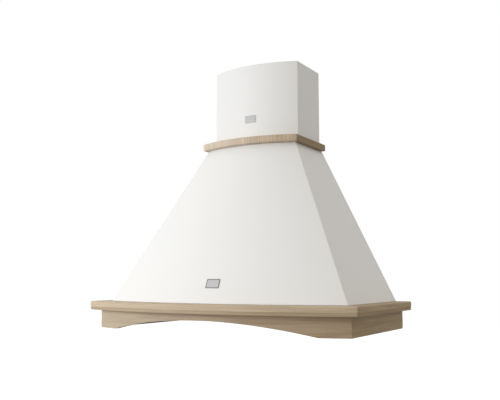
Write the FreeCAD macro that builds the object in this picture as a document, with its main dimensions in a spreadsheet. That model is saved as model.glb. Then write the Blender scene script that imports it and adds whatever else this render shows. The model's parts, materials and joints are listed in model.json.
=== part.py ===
import FreeCAD, Part
import math
import os

import Sketcher

# A wall hung range hood: a wooden base and neck ring, a bowed sheet metal dome and a telescopic
# chimney over a suction blower. Millimetres, X to the viewer's right, the wall plane at Y = 0,
# the room on the -Y side, +Z up. The origin is midway between the two wall fixing holes.

os.makedirs("parts", exist_ok=True)
doc = FreeCAD.newDocument("range_hood")
sheet = doc.addObject("Spreadsheet::Sheet", "sizes")

# Driving dimensions

SIZES = {
    # where the hood hangs
    "fixing_below_neck": 66.5,
    "fixing_spacing": 240.0,
    "fixing_hole_radius": 4.25,
    "safety_above_base": 130.0,
    "safety_spacing": 560.0,
    # clearances shared by many pieces
    "seat_gap": 0.3,
    "running_gap": 0.06,
    "cut_over": 5.0,
    # bows, concentric about two upright axes behind the wall
    "hood_deep": 515.0,
    "base_bow_radius": 1227.0,
    "chimney_deep": 194.0,
    "neck_bow_radius": 346.0,
    # wooden base
    "cornice_wide": 900.0,
    "cornice_high": 26.0,
    "cornice_deep": 60.0,
    "cornice_bevel": 3.0,
    "apron_high": 56.0,
    "apron_thick": 20.0,
    "apron_side_reveal": 28.0,
    "apron_front_reveal": 32.0,
    "apron_heel_round": 6.0,
    "arch_span": 680.0,
    "arch_rise": 36.5,
    "block_leg": 36.0,
    "block_high": 42.0,
    # dome
    "dome_side_reveal": 47.7,
    "dome_front_reveal": 64.0,
    "dome_high": 484.5,
    "dome_wall": 1.2,
    "dome_lip": 15.0,
    "dome_top_side_reveal": 9.4,
    "dome_top_front_reveal": 37.0,
    "dome_top_lip": 22.0,
    "dome_top_rear_lip": 6.0,
    "panel_thick": 1.2,
    # neck ring and chimney
    "chimney_wide": 306.2,
    "chimney_wall": 1.0,
    "chimney_lip": 16.0,
    "collar_high": 25.6,
    "collar_side_reveal": 20.5,
    "collar_front_reveal": 53.0,
    "collar_bevel": 2.0,
    "lower_chimney_high": 272.0,
    "upper_chimney_high": 236.0,
    "chimney_slip": 0.5,
    "bracket_strip": 2.0,
    "bracket_high": 24.0,
    "bracket_ear": 44.0,
    "bracket_raise": 5.0,
    # underside pan
    "pan_thick": 1.0,
    "pan_inset": 6.0,
    "pan_rim": 18.0,
    # grease filters
    "filter_wide": 268.0,
    "filter_from_front": 170.0,
    "filter_thick": 9.0,
    "filter_proud": 2.0,
    "filter_bar": 14.0,
    "filter_front_bar": 34.0,
    "filter_between": 20.0,
    "filter_back": 45.0,
    "filter_slip": 1.5,
    "filter_heel_slip": 2.5,
    "mesh_thick": 5.0,
    "mesh_grip": 6.0,
    "hinge_inset": 5.0,
    "hinge_above_pan": 3.0,
    "hinge_pin_radius": 2.0,
    "hinge_pin_long": 6.0,
    "hanger_thick": 3.0,
    "hanger_half": 6.0,
    "latch_wide": 60.0,
    "latch_long": 14.4,
    "latch_high": 4.7,
    "latch_travel": 7.0,
    "latch_inset": 4.0,
    "latch_bite": 2.5,
    "tongue_wide": 30.0,
    "tongue_thick": 2.0,
    "grip_wide": 50.0,
    "grip_thick": 4.0,
    "grip_drop": 4.5,
    # lamps
    "lamp_from_side": 140.0,
    "lamp_from_front": 42.6,
    "lamp_ring_radius": 35.0,
    "lamp_ring_high": 3.5,
    "lamp_neck_radius": 28.7,
    "lamp_neck_wall": 1.4,
    "lamp_neck_high": 9.0,
    "lamp_sight_radius": 22.0,
    "lamp_lip": 1.2,
    "lens_thick": 2.5,
    "lamp_can_high": 16.0,
    "lamp_slip": 0.4,
    # controls
    "control_from_front": 56.7,
    "bezel_wide": 164.0,
    "bezel_deep": 34.0,
    "bezel_thick": 2.5,
    "bezel_round": 6.0,
    "switch_wide": 144.0,
    "switch_deep": 24.0,
    "switch_high": 26.0,
    "button_pitch": 24.0,
    "button_radius": 5.5,
    "button_proud": 3.0,
    "button_long": 17.0,
    "button_travel": 2.5,
    "pilot_out": 66.0,
    "pilot_radius": 2.4,
    "pilot_long": 4.0,
    # blower
    "rotor_above_base": 300.0,
    "outlet_set_back": 2.0,
    "outlet_deep": 120.0,
    "case_half_wide": 77.0,
    "case_wall": 2.0,
    "scroll_radius": 112.0,
    "scroll_step": 16.0,
    "case_top_above_base": 468.0,
    "case_flange": 10.0,
    "bell_radius": 84.0,
    "bell_flare": 9.0,
    "rotor_half_wide": 65.0,
    "blade_inner_radius": 86.0,
    "blade_outer_radius": 100.0,
    "blade_thick": 1.2,
    "blade_bow_radius": 18.0,
    "ring_thick": 2.0,
    "ring_over": 0.6,
    "hub_radius": 12.0,
    "hub_long": 22.0,
    "hub_clear": 4.0,
    "shaft_radius": 4.0,
    "shaft_long": 58.0,
    "motor_radius": 44.0,
    "motor_long": 65.0,
    "spider_thick": 3.0,
    "spider_hub_step": 5.0,
    "spider_ring_inner": 95.0,
    "spider_ring_outer": 103.0,
    "spider_arm_wide": 12.0,
    "grille_bar": 2.6,
    "grille_hub_radius": 12.0,
    # shelf that carries the blower
    "shelf_half_wide": 140.0,
    "shelf_deep": 200.0,
    "shelf_thick": 2.0,
    "shelf_drop": 43.0,
    "shelf_screw_out": 125.0,
    # outlet
    "adapter_high": 45.0,
    "spigot_radius": 74.5,
    "spigot_wall": 1.5,
    "spigot_high": 85.0,
    "seat_above_adapter": 33.0,
    "seat_lip": 4.0,
    "seat_thick": 1.5,
    "flap_radius": 72.0,
    "flap_thick": 1.5,
    "barrel_radius": 2.6,
    "barrel_off": 4.5,
    "barrel_half_long": 58.0,
    "flap_pin_radius": 1.5,
    "flap_notch": 4.6,
    "ear_thick": 3.0,
    "ear_reach": 2.8,
    "damper_bar_half": 7.5,
    # electrics
    "capacitor_radius": 17.0,
    "capacitor_high": 58.0,
    "capacitor_out": 112.0,
    "capacitor_forward": 60.0,
    "capacitor_bevel": 2.0,
    "box_inner_edge": 88.0,
    "box_wide": 48.0,
    "box_deep": 70.0,
    "box_back": 8.0,
    "box_high": 30.0,
    "box_wall": 2.0,
    "box_round": 4.0,
    "lid_thick": 2.0,
    "gland_radius": 10.0,
    "gland_nut_high": 8.0,
    "gland_high": 20.0,
    "gland_thread_radius": 6.0,
    "gland_thread_long": 5.0,
    "gland_nose_radius": 8.5,
    "gland_bore_radius": 4.5,
    # fasteners
    "screw_head_radius": 4.0,
    "screw_head_high": 2.2,
    "screw_radius": 2.0,
    "screw_long": 16.0,
}

SCREW_PLACE_SHARES = (0.3, 0.75)
GRILLE_RING_SHARES = (0.4, 0.7)
BLADE_COUNT = 24
BLADE_LEAN_DEGREES = 6.0
SPIDER_ARMS = 3
GRILLE_SPOKES = 4

for row, (alias, number) in enumerate(SIZES.items(), start=1):
    sheet.set(f"A{row}", alias)
    sheet.set(f"B{row}", str(number))
    sheet.setAlias(f"B{row}", alias)
doc.recompute()

V = FreeCAD.Vector


class Size:
    """A length with the sheet expression that gives it, so that sums of sizes stay bound."""

    def __init__(self, number, text):
        self.number = number
        self.text = text

    def __add__(self, other):
        return Size(self.number + number_of(other), f"({self.text} + {text_of(other)})")

    def __radd__(self, other):
        return Size(number_of(other) + self.number, f"({text_of(other)} + {self.text})")

    def __sub__(self, other):
        return Size(self.number - number_of(other), f"({self.text} - {text_of(other)})")

    def __rsub__(self, other):
        return Size(number_of(other) - self.number, f"({text_of(other)} - {self.text})")

    def __mul__(self, other):
        return Size(self.number * number_of(other), f"({self.text} * {text_of(other)})")

    __rmul__ = __mul__

    def __truediv__(self, other):
        return Size(self.number / number_of(other), f"({self.text} / {text_of(other)})")

    def __neg__(self):
        return Size(-self.number, f"(-{self.text})")


def number_of(size):
    return size.number if isinstance(size, Size) else size


def text_of(size):
    return size.text if isinstance(size, Size) else repr(size)


def root(size):
    """The square root of a size squared."""
    return Size(math.sqrt(size.number), f"sqrt({size.text})")


def leg(radius, other):
    """The second leg of a right triangle, from its long side and one leg."""
    return root(radius * radius - other * other)


class Named:
    """The sheet's sizes by name."""

    def __getattr__(self, alias):
        return Size(float(sheet.get(alias)), f"sizes.{alias}")


s = Named()


def tie(item, prop, size):
    """Bind one property of an object to a size, or set it where the value is a plain number."""
    item.setExpression(prop, text_of(size))


# Levels and places that several pieces share

BASE = s.fixing_below_neck - s.apron_high - s.cornice_high - s.dome_high
BASE_BACK = s.base_bow_radius - s.hood_deep
NECK_BACK = s.neck_bow_radius - s.chimney_deep
OUTLET_FORWARD = s.chimney_deep / 2 - s.outlet_set_back
CORNICE_LOW = BASE + s.apron_high
CORNICE_TOP = CORNICE_LOW + s.cornice_high
DOME_TOP = CORNICE_TOP + s.dome_high
COLLAR_TOP = DOME_TOP + s.collar_high
PAN_LOW = CORNICE_LOW + s.pan_inset
PAN_TOP = PAN_LOW + s.pan_thick
ROTOR_UP = BASE + s.rotor_above_base
CASE_TOP = BASE + s.case_top_above_base
SHELF_TOP = CASE_TOP + s.shelf_thick
SPIGOT_LOW = SHELF_TOP + s.adapter_high
SEAT_TOP = SPIGOT_LOW + s.seat_above_adapter
HALF = s.cornice_wide / 2
CHIMNEY_HALF = s.chimney_wide / 2
INNER_HALF = HALF - s.cornice_deep
INNER_BOW = s.base_bow_radius - s.cornice_deep

# Sketches, solids and booleans

PLANES = {"plan": "XY_Plane", "front": "XZ_Plane", "side": "YZ_Plane"}
LEVEL_SIGN = {"plan": 1, "front": -1, "side": 1}
kept = []


def new_body(label):
    made = doc.addObject("PartDesign::Body", label)
    made.Label = label
    return made


def new_sketch(host, view, level, shapes, centre=(0, 0)):
    """A sketch on a body's own plane: shapes are closed outlines of corners, or circles.

    A corner is (u, v), or (u, v, radius, side) where an arc of that radius arrives from the
    corner before it, bulging to the left of the way it goes with side 1 and to the right with -1.
    A circle is (u, v, radius) on its own.
    """
    made = host.newObject("Sketcher::SketchObject", f"{host.Name}_outline")
    plane = [f for f in host.Origin.OriginFeatures if f.Role == PLANES[view]][0]
    made.AttachmentSupport = (plane, [""])
    made.MapMode = "FlatFace"
    for axis, shift in zip("xyz", (centre[0], centre[1], LEVEL_SIGN[view] * level)):
        tie(made, f"AttachmentOffset.Base.{axis}", shift)
    for shape in shapes:
        if isinstance(shape, tuple):
            draw_circle(made, *shape)
        else:
            draw_outline(made, shape)
    return made


def pin_point(made, curve, end, u, v):
    """Fix one point of a sketch curve at two sizes from the sketch's origin."""
    for kind, size in (("DistanceX", u), ("DistanceY", v)):
        index = made.addConstraint(Sketcher.Constraint(kind, -1, 1, curve, end, number_of(size)))
        tie(made, f"Constraints[{index}]", size)


def draw_circle(made, u, v, radius):
    middle = V(number_of(u), number_of(v), 0)
    curve = made.addGeometry(Part.Circle(middle, V(0, 0, 1), radius.number))
    pin_point(made, curve, 3, u, v)
    index = made.addConstraint(Sketcher.Constraint("Radius", curve, radius.number))
    tie(made, f"Constraints[{index}]", radius)


def draw_outline(made, corners):
    points = [V(number_of(c[0]), number_of(c[1]), 0) for c in corners]
    curves = []
    for index, corner in enumerate(corners):
        start, end = points[index - 1], points[index]
        if len(corner) == 2:
            curves.append(made.addGeometry(Part.LineSegment(start, end)))
            continue
        radius, side = corner[2].number, corner[3]
        chord = end - start
        drop = radius - math.sqrt(max(radius * radius - chord.Length**2 / 4, 0))
        left = V(-chord.y, chord.x, 0).normalize()
        arc = Part.Arc(start, start + chord / 2 + left * drop * side, end)
        curves.append(made.addGeometry(arc))
    backwards = []
    for curve, end in zip(curves, points):
        backwards.append((made.getPoint(curve, 2) - end).Length > (made.getPoint(curve, 1) - end).Length)
    for index, curve in enumerate(curves):
        following = (index + 1) % len(curves)
        here = 1 if backwards[index] else 2
        there = 2 if backwards[following] else 1
        made.addConstraint(Sketcher.Constraint("Coincident", curve, here, curves[following], there))
        pin_point(made, curve, here, corners[index][0], corners[index][1])
        if len(corners[index]) > 2:
            number = made.addConstraint(Sketcher.Constraint("Radius", curve, corners[index][2].number))
            tie(made, f"Constraints[{number}]", corners[index][2])


def add_pad(host, view, low, high, shapes, centre=(0, 0)):
    """Pad closed shapes from low to high along the axis that their view looks along."""
    level = high if view == "front" else low
    pad = host.newObject("PartDesign::Pad", f"{host.Name}_pad")
    pad.Profile = new_sketch(host, view, level, shapes, centre)
    tie(pad, "Length", high - low)
    host.Tip = pad
    return pad


def add_pattern(host, feature, count):
    """Repeat a feature round the normal axis of its own sketch."""
    made = host.newObject("PartDesign::PolarPattern", f"{host.Name}_pattern")
    made.Originals = [feature]
    made.Axis = (feature.Profile[0], ["N_Axis"])
    made.Angle = 360
    made.Occurrences = count
    host.Tip = made


def prism(label, view, low, high, *shapes, centre=(0, 0)):
    """A body of one pad."""
    made = new_body(label)
    add_pad(made, view, low, high, shapes, centre)
    return made


def turned(label, view, axis, centre, *shapes):
    """A body turned a full turn about the sketch's own axis, which stands at the centre."""
    made = new_body(label)
    outline = new_sketch(made, view, centre[2], shapes, centre[:2])
    turn = made.newObject("PartDesign::Revolution", f"{made.Name}_turn")
    turn.Profile = outline
    turn.ReferenceAxis = (outline, [axis])
    turn.Angle = 360
    return made


def rectangle(left, low, right, high):
    return [(left, low), (right, low), (right, high), (left, high)]


def rounded_rectangle(left, low, right, high, radius):
    return [
        (right - radius, low),
        (right, low + radius, radius, -1),
        (right, high - radius),
        (right - radius, high, radius, -1),
        (left + radius, high),
        (left, high - radius, radius, -1),
        (left, low + radius),
        (left + radius, low, radius, -1),
    ]


def hexagon(radius):
    """A regular hexagon about the origin, from the radius of its corners."""
    turns = [math.radians(60 * index) for index in range(6)]
    return [(radius * math.cos(turn), radius * math.sin(turn)) for turn in turns]


def block(label, x, y, z):
    """A box from three pairs of limits."""
    return prism(label, "plan", z[0], z[1], rectangle(x[0], y[0], x[1], y[1]))


def rod(label, along, centre, low, high, radius, bore=None):
    """A round bar along an axis, with a bore where one is given."""
    view = {"x": "side", "y": "front", "z": "plan"}[along]
    shapes = [(0, 0, size) for size in (radius, bore) if size is not None]
    return prism(label, view, low, high, *shapes, centre=centre)


def cut(label, base, *tools):
    for index, tool in enumerate(tools):
        made = doc.addObject("Part::Cut", f"{label}_cut_{index}")
        made.Base = base
        made.Tool = tool
        base = made
    return base


def fuse(label, *pieces):
    made = doc.addObject("Part::MultiFuse", f"{label}_fuse")
    made.Shapes = list(pieces)
    made.Refine = True
    return made


def mirrored(label, source):
    """The mirror image across the middle plane."""
    made = doc.addObject("Part::Mirroring", f"{label}_mirror")
    made.Source = source
    made.Normal = V(1, 0, 0)
    return made


def group(label, pieces):
    made = doc.addObject("Part::Compound", f"{label}_group")
    made.Links = list(pieces)
    return made


def pair(label, item):
    """A right hand piece and its mirror image as two solids of one group."""
    return group(label, [item, mirrored(f"{label}_other", item)])


def keep(label, item):
    """Give a finished piece the name of its node and list it for writing."""
    item.Label = label
    kept.append(item)
    return item


def both_sides(name, item):
    """Keep a right hand piece and its mirror image."""
    keep(f"{name}_right", item)
    keep(f"{name}_left", mirrored(f"{name}_left", item))


def bowed_plan(half, bow, back, rear=0):
    """A plan outline: straight sides and rear, and a front arc about an axis behind the wall."""
    corner = back - leg(bow, half)
    return [(half, rear), (-half, rear), (-half, corner), (half, corner, bow, -1)]


# Wooden base: a moulded cornice and an apron with a shallow arch, mitred at the front corners

APRON_HALF = HALF - s.apron_side_reveal
APRON_BOW = s.base_bow_radius - s.apron_front_reveal
DOME_HALF = HALF - s.dome_side_reveal
DOME_BOW = s.base_bow_radius - s.dome_front_reveal
DOME_TOP_HALF = CHIMNEY_HALF + s.dome_top_side_reveal
DOME_TOP_BOW = s.neck_bow_radius + s.dome_top_front_reveal
COLLAR_HALF = CHIMNEY_HALF + s.collar_side_reveal
COLLAR_BOW = s.neck_bow_radius + s.collar_front_reveal


def mitre_wedge(label, low, high, half, bow, inner_half, inner_bow, back):
    """The ground outside a right hand mitre, seen in plan: behind and beside the joint line."""
    outer = back - leg(bow, half)
    inner = back - leg(inner_bow, inner_half)
    across, along = half - inner_half, outer - inner
    beyond = (half + across, outer + along)
    past = (inner_half - across, inner - along)
    ground = [beyond, (beyond[0], 0), past]
    return prism(label, "plan", low - s.cut_over, high + s.cut_over, ground)


def moulding_profile(outer, inner, low, high, bevel):
    """A board's section with its two outer edges eased; outer may lie below or above inner."""
    way = 1 if outer.number > inner.number else -1
    return [
        (inner, low),
        (outer - way * bevel, low),
        (outer, low + bevel),
        (outer, high - bevel),
        (outer - way * bevel, high),
        (inner, high),
    ]


def bowed_board(name, low, high, half, bow, inner_half, inner_bow, back, bevel):
    """The front board of a mitred frame: its section turned about the bow's upright axis."""
    made = new_body(f"{name}_band")
    profile = moulding_profile(-bow, -inner_bow, low, high, bevel)
    section = new_sketch(made, "side", 0, [profile], (back, 0))
    turn = made.newObject("PartDesign::Revolution", f"{name}_turn")
    turn.Profile = section
    turn.ReferenceAxis = (section, ["V_Axis"])
    turn.Midplane = True
    tie(turn, "Angle", Size(0, f"2 * asin({((half + s.cut_over) / bow).text})"))
    wedge = mitre_wedge(f"{name}_wedge", low, high, half, bow, inner_half, inner_bow, back)
    return cut(name, made, wedge, mirrored(f"{name}_wedge_left", wedge))


def side_board(name, low, high, half, bow, inner_half, inner_bow, back, bevel):
    """The right hand board of a mitred frame, from the wall to its mitre."""
    outer = back - leg(bow, half)
    inner = back - leg(inner_bow, inner_half)
    section = moulding_profile(half, inner_half, low, high, bevel)
    board = prism(f"{name}_board", "front", outer, 0, section)
    far = outer - s.cut_over
    beyond = [(inner_half, inner), (half, outer), (half, far), (inner_half, far)]
    front = prism(f"{name}_mitre", "plan", low - s.cut_over, high + s.cut_over, beyond)
    return cut(name, board, front)


cornice = (CORNICE_LOW, CORNICE_TOP, HALF, s.base_bow_radius, INNER_HALF, INNER_BOW)
cornice_front = bowed_board("cornice_front", *cornice, BASE_BACK, s.cornice_bevel)
keep("cornice_front", cornice_front)
cornice_side = side_board("cornice_side", *cornice, BASE_BACK, s.cornice_bevel)
PAN_HALF = INNER_HALF - s.seat_gap
PAN_BOW = INNER_BOW - s.seat_gap
PAN_SCREW_UP = PAN_LOW + s.pan_rim / 2
LAMP_OUT = INNER_HALF - s.lamp_from_side
LAMP_FORWARD = leg(PAN_BOW, LAMP_OUT) - BASE_BACK - s.lamp_from_front
CONTROL_FORWARD = PAN_BOW - BASE_BACK - s.control_from_front


def pan_screw_places():
    """How far forward of the wall each side rim is screwed to the cornice."""
    depth = leg(PAN_BOW, PAN_HALF) - BASE_BACK
    return [-depth * share for share in SCREW_PLACE_SHARES]


def screw_holes(label, low, high):
    """Round holes across the part for the pan's side screws."""
    radius = s.screw_radius + s.running_gap
    places = pan_screw_places()
    return [rod(f"{label}_screw_hole", "x", (place, PAN_SCREW_UP), low, high, radius) for place in places]


PAN_SCREW_TIP = PAN_HALF - s.pan_thick + s.screw_long
cornice_holes = screw_holes("cornice", INNER_HALF - s.cut_over, PAN_SCREW_TIP + s.seat_gap)
cornice_side = cut("cornice_side_drilled", cornice_side, *cornice_holes)

apron_inner_half = APRON_HALF - s.apron_thick
apron_inner_bow = APRON_BOW - s.apron_thick
arch_bow = (s.arch_span * s.arch_span / 4 + s.arch_rise * s.arch_rise) / (2 * s.arch_rise)
apron_corner = BASE_BACK - leg(APRON_BOW, APRON_HALF)
apron_inner_corner = BASE_BACK - leg(apron_inner_bow, apron_inner_half)


def apron_front():
    """The bowed front board with its arch sawn out of the lower edge."""
    inner = (-APRON_HALF, BASE)
    front = BASE_BACK - APRON_BOW - s.cut_over
    outline = [
        inner,
        (-s.arch_span / 2, BASE),
        (s.arch_span / 2, BASE, arch_bow, 1),
        (APRON_HALF, BASE),
        (APRON_HALF, CORNICE_LOW),
        (-APRON_HALF, CORNICE_LOW),
    ]
    face = prism("apron_face", "front", front, 0, outline)
    back = BASE_BACK
    outer = prism("apron_outer", "plan", BASE, CORNICE_LOW, bowed_plan(APRON_HALF, APRON_BOW, back))
    inside = bowed_plan(APRON_HALF + s.cut_over, apron_inner_bow, back, s.cut_over)
    hollow = prism("apron_hollow", "plan", BASE - s.cut_over, CORNICE_LOW + s.cut_over, inside)
    plan = (APRON_HALF, APRON_BOW, apron_inner_half, apron_inner_bow, back)
    wedge = mitre_wedge("apron_wedge", BASE, CORNICE_LOW, *plan)
    board = doc.addObject("Part::MultiCommon", "apron_board")
    board.Shapes = [face, outer]
    return cut("apron_front", board, hollow, wedge, mirrored("apron_wedge_left", wedge))


def apron_side():
    """A straight side board with its lower rear corner rounded."""
    radius = s.apron_heel_round
    outline = [
        (apron_corner, BASE),
        (-radius, BASE),
        (0, BASE + radius, radius, -1),
        (0, CORNICE_LOW),
        (apron_corner, CORNICE_LOW),
    ]
    board = prism("apron_side_board", "side", apron_inner_half, APRON_HALF, outline)
    far = apron_corner - s.cut_over
    beyond = [
        (apron_inner_half, apron_inner_corner),
        (APRON_HALF, apron_corner),
        (APRON_HALF, far),
        (apron_inner_half, far),
    ]
    front = prism("apron_side_mitre", "plan", BASE - s.cut_over, CORNICE_LOW + s.cut_over, beyond)
    return cut("apron_side", board, front)


keep("apron_front", apron_front())
both_sides("apron", apron_side())


def corner_block():
    """A three cornered glue block behind a front corner of the apron, under the cornice."""
    side = apron_inner_half
    rear = apron_inner_corner
    along = s.block_leg * (APRON_HALF / APRON_BOW)
    outline = [
        (side, rear + s.seat_gap),
        (side, rear + s.block_leg),
        (side - s.block_leg, rear + s.seat_gap - along),
    ]
    return prism("corner_block", "plan", CORNICE_LOW - s.block_high, CORNICE_LOW, outline)


keep("corner_blocks", pair("corner_blocks", corner_block()))

# Dome: one folded sheet, open behind, with lips turned inwards at its foot, top and rear edges


def bowed_loft(name, low, high):
    """A solid ruled between two bowed plans; each plan is (level, half, bow, back, rear)."""
    sections = []
    for end, (level, half, bow, back, rear) in (("foot", low), ("top", high)):
        host = new_body(f"{name}_{end}")
        sections.append(new_sketch(host, "plan", level, [bowed_plan(half, bow, back, rear)]))
    made = doc.addObject("Part::Loft", name)
    made.Sections = sections
    made.Solid = True
    made.Ruled = True
    return made


def plan_at(half, bow, back, rear, inset):
    """The same plan drawn in by a wall or a lip on every side."""
    return bowed_plan(half - inset, bow - inset, back, rear - inset)


def dome_shell():
    """The dome's sheet: the space between two ruled solids, with its foot, top and rear opened."""
    rear = -s.panel_thick
    wall = s.dome_wall
    outer = bowed_loft(
        "dome_outer",
        (CORNICE_TOP, DOME_HALF, DOME_BOW, BASE_BACK, rear),
        (DOME_TOP, DOME_TOP_HALF, DOME_TOP_BOW, NECK_BACK, rear),
    )
    inner = bowed_loft(
        "dome_inner",
        (CORNICE_TOP + wall, DOME_HALF - wall, DOME_BOW - wall, BASE_BACK, rear - wall),
        (DOME_TOP - wall, DOME_TOP_HALF - wall, DOME_TOP_BOW - wall, NECK_BACK, rear - wall),
    )
    foot = prism(
        "dome_foot_opening",
        "plan",
        CORNICE_TOP - s.cut_over,
        CORNICE_TOP + 2 * wall,
        plan_at(DOME_HALF, DOME_BOW, BASE_BACK, rear, s.dome_lip),
    )
    top_half = DOME_TOP_HALF - s.dome_top_lip
    top_bow = DOME_TOP_BOW - s.dome_top_lip
    top_plan = bowed_plan(top_half, top_bow, NECK_BACK, rear - s.dome_top_rear_lip)
    top = prism("dome_top_opening", "plan", DOME_TOP - 2 * wall, DOME_TOP + s.cut_over, top_plan)
    back = [
        (DOME_HALF - s.dome_lip, CORNICE_TOP + s.dome_lip),
        (DOME_TOP_HALF - s.dome_lip, DOME_TOP - s.dome_lip),
        (s.dome_lip - DOME_TOP_HALF, DOME_TOP - s.dome_lip),
        (s.dome_lip - DOME_HALF, CORNICE_TOP + s.dome_lip),
    ]
    behind = prism("dome_rear_opening", "front", rear - 2 * wall, rear + s.cut_over, back)
    return cut("dome_shell", outer, inner, foot, top, behind)


keep("dome_shell", dome_shell())


def rear_panel():
    """The wall panel: the dome's rear outline with a narrower foot between the cornice ends."""
    foot = INNER_HALF - s.seat_gap
    outline = [
        (-foot, CORNICE_LOW + s.seat_gap),
        (foot, CORNICE_LOW + s.seat_gap),
        (foot, CORNICE_TOP + s.seat_gap),
        (DOME_HALF, CORNICE_TOP + s.seat_gap),
        (DOME_TOP_HALF, DOME_TOP),
        (-DOME_TOP_HALF, DOME_TOP),
        (-DOME_HALF, CORNICE_TOP + s.seat_gap),
        (-foot, CORNICE_TOP + s.seat_gap),
    ]
    safety_up = BASE + s.safety_above_base
    holes = [(side * s.fixing_spacing / 2, 0, s.fixing_hole_radius) for side in (-1, 1)]
    holes += [(side * s.safety_spacing / 2, safety_up, s.fixing_hole_radius) for side in (-1, 1)]
    holes += [(x, z, s.screw_radius + s.running_gap) for x, z in shelf_screw_places()]
    return prism("rear_panel", "front", -s.panel_thick, 0, outline, *holes)


def shelf_screw_places():
    """Where the blower shelf's four screws enter the wall panel, as (across, up)."""
    places = []
    for side in (-1, 1):
        for share in SCREW_PLACE_SHARES:
            places.append((side * s.shelf_screw_out, CASE_TOP - s.shelf_drop * share))
    return places


keep("rear_panel", rear_panel())

# Neck ring of three mitred boards, and the telescopic chimney that stands inside it

ring_inner_half = CHIMNEY_HALF + s.seat_gap
ring_inner_bow = s.neck_bow_radius + s.seat_gap
ring = (DOME_TOP, COLLAR_TOP, COLLAR_HALF, COLLAR_BOW, ring_inner_half, ring_inner_bow)
keep("collar_front", bowed_board("collar_front", *ring, NECK_BACK, s.collar_bevel))
both_sides("collar", side_board("collar_side", *ring, NECK_BACK, s.collar_bevel))
both_sides("cornice", cornice_side)


def chimney(name, low, high, inset):
    """A folded cover: bowed front, flat sides and two narrow lips on the wall."""
    half = CHIMNEY_HALF - inset
    bow = s.neck_bow_radius - inset
    back = NECK_BACK
    wall = s.chimney_wall
    outer = prism(f"{name}_outer", "plan", low, high, bowed_plan(half, bow, back, -inset))
    inside = bowed_plan(half - wall, bow - wall, back, -inset - wall)
    inner = prism(f"{name}_inner", "plan", low - s.cut_over, high + s.cut_over, inside)
    open_half = half - s.chimney_lip
    gap = block(
        f"{name}_gap",
        (-open_half, open_half),
        (-inset - 2 * wall, s.cut_over),
        (low - s.cut_over, high + s.cut_over),
    )
    return cut(name, outer, inner, gap)


keep("lower_chimney", chimney("lower_chimney", DOME_TOP, DOME_TOP + s.lower_chimney_high, 0))
BRACKET_TOP = DOME_TOP + s.bracket_raise + s.bracket_high
UPPER_LOW = BRACKET_TOP + s.seat_gap
UPPER_INSET = s.chimney_wall + s.chimney_slip
keep("upper_chimney", chimney("upper_chimney", UPPER_LOW, UPPER_LOW + s.upper_chimney_high, UPPER_INSET))


def chimney_bracket():
    """A wall strip with two ears that reach forward inside the lower chimney's sides."""
    low = BRACKET_TOP - s.bracket_high
    levels = (low, BRACKET_TOP)
    strip = s.bracket_strip
    reach = CHIMNEY_HALF - s.chimney_wall - s.seat_gap
    lip = CHIMNEY_HALF - s.chimney_lip - 2 * s.seat_gap
    pieces = [block("bracket_strip", (-lip, lip), (-strip, 0), levels)]
    for side in (-1, 1):
        across = sorted((side * (lip - strip), side * reach), key=number_of)
        ear = sorted((side * (reach - strip), side * reach), key=number_of)
        pieces.append(block("bracket_step", across, (-2 * strip, -strip), levels))
        pieces.append(block("bracket_ear", ear, (-s.bracket_ear, -strip), levels))
    return fuse("chimney_bracket", *pieces)


keep("chimney_bracket", chimney_bracket())

# Underside pan, grease filters and their latches

PAN_REAR = -s.panel_thick - s.seat_gap
FILTER_LOW = PAN_LOW - s.filter_proud
FILTER_TOP = FILTER_LOW + s.filter_thick
FILTER_NEAR = s.filter_between / 2
FILTER_FAR = FILTER_NEAR + s.filter_wide
FILTER_FRONT = s.filter_from_front - s.hood_deep
FILTER_MIDDLE = (FILTER_NEAR + FILTER_FAR) / 2
HINGE_Y = -s.filter_back - s.hinge_inset
HINGE_Z = PAN_TOP + s.hinge_above_pan


def underside_pan():
    """A tray with its rim turned up, open for the filters, the lamps and the switch."""
    rim = (PAN_LOW, PAN_LOW + s.pan_rim)
    outer = prism("pan_outer", "plan", *rim, bowed_plan(PAN_HALF, PAN_BOW, BASE_BACK, PAN_REAR))
    inside = plan_at(PAN_HALF, PAN_BOW, BASE_BACK, PAN_REAR, s.pan_thick)
    inner = prism("pan_inner", "plan", PAN_TOP, rim[1] + s.cut_over, inside)
    below = (PAN_LOW - s.cut_over, PAN_TOP + s.cut_over)
    tools = [inner]
    for side in (-1, 1):
        across = sorted(
            (side * (FILTER_NEAR - s.filter_slip), side * (FILTER_FAR + s.filter_slip)), key=number_of
        )
        along = (FILTER_FRONT - s.filter_slip, s.filter_heel_slip - s.filter_back)
        tools.append(block("pan_filter_opening", across, along, below))
        lamp = (side * LAMP_OUT, -LAMP_FORWARD)
        tools.append(rod("pan_lamp_hole", "z", lamp, *below, s.lamp_neck_radius + s.seat_gap))
    slot_half = s.switch_wide / 2 + s.seat_gap
    slot_deep = s.switch_deep / 2 + s.seat_gap
    slot = (-CONTROL_FORWARD - slot_deep, -CONTROL_FORWARD + slot_deep)
    tools.append(block("pan_switch_slot", (-slot_half, slot_half), slot, below))
    tools += screw_holes("pan", -PAN_HALF - s.cut_over, PAN_HALF + s.cut_over)
    return cut("underside_pan", outer, *tools)


keep("underside_pan", underside_pan())


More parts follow.
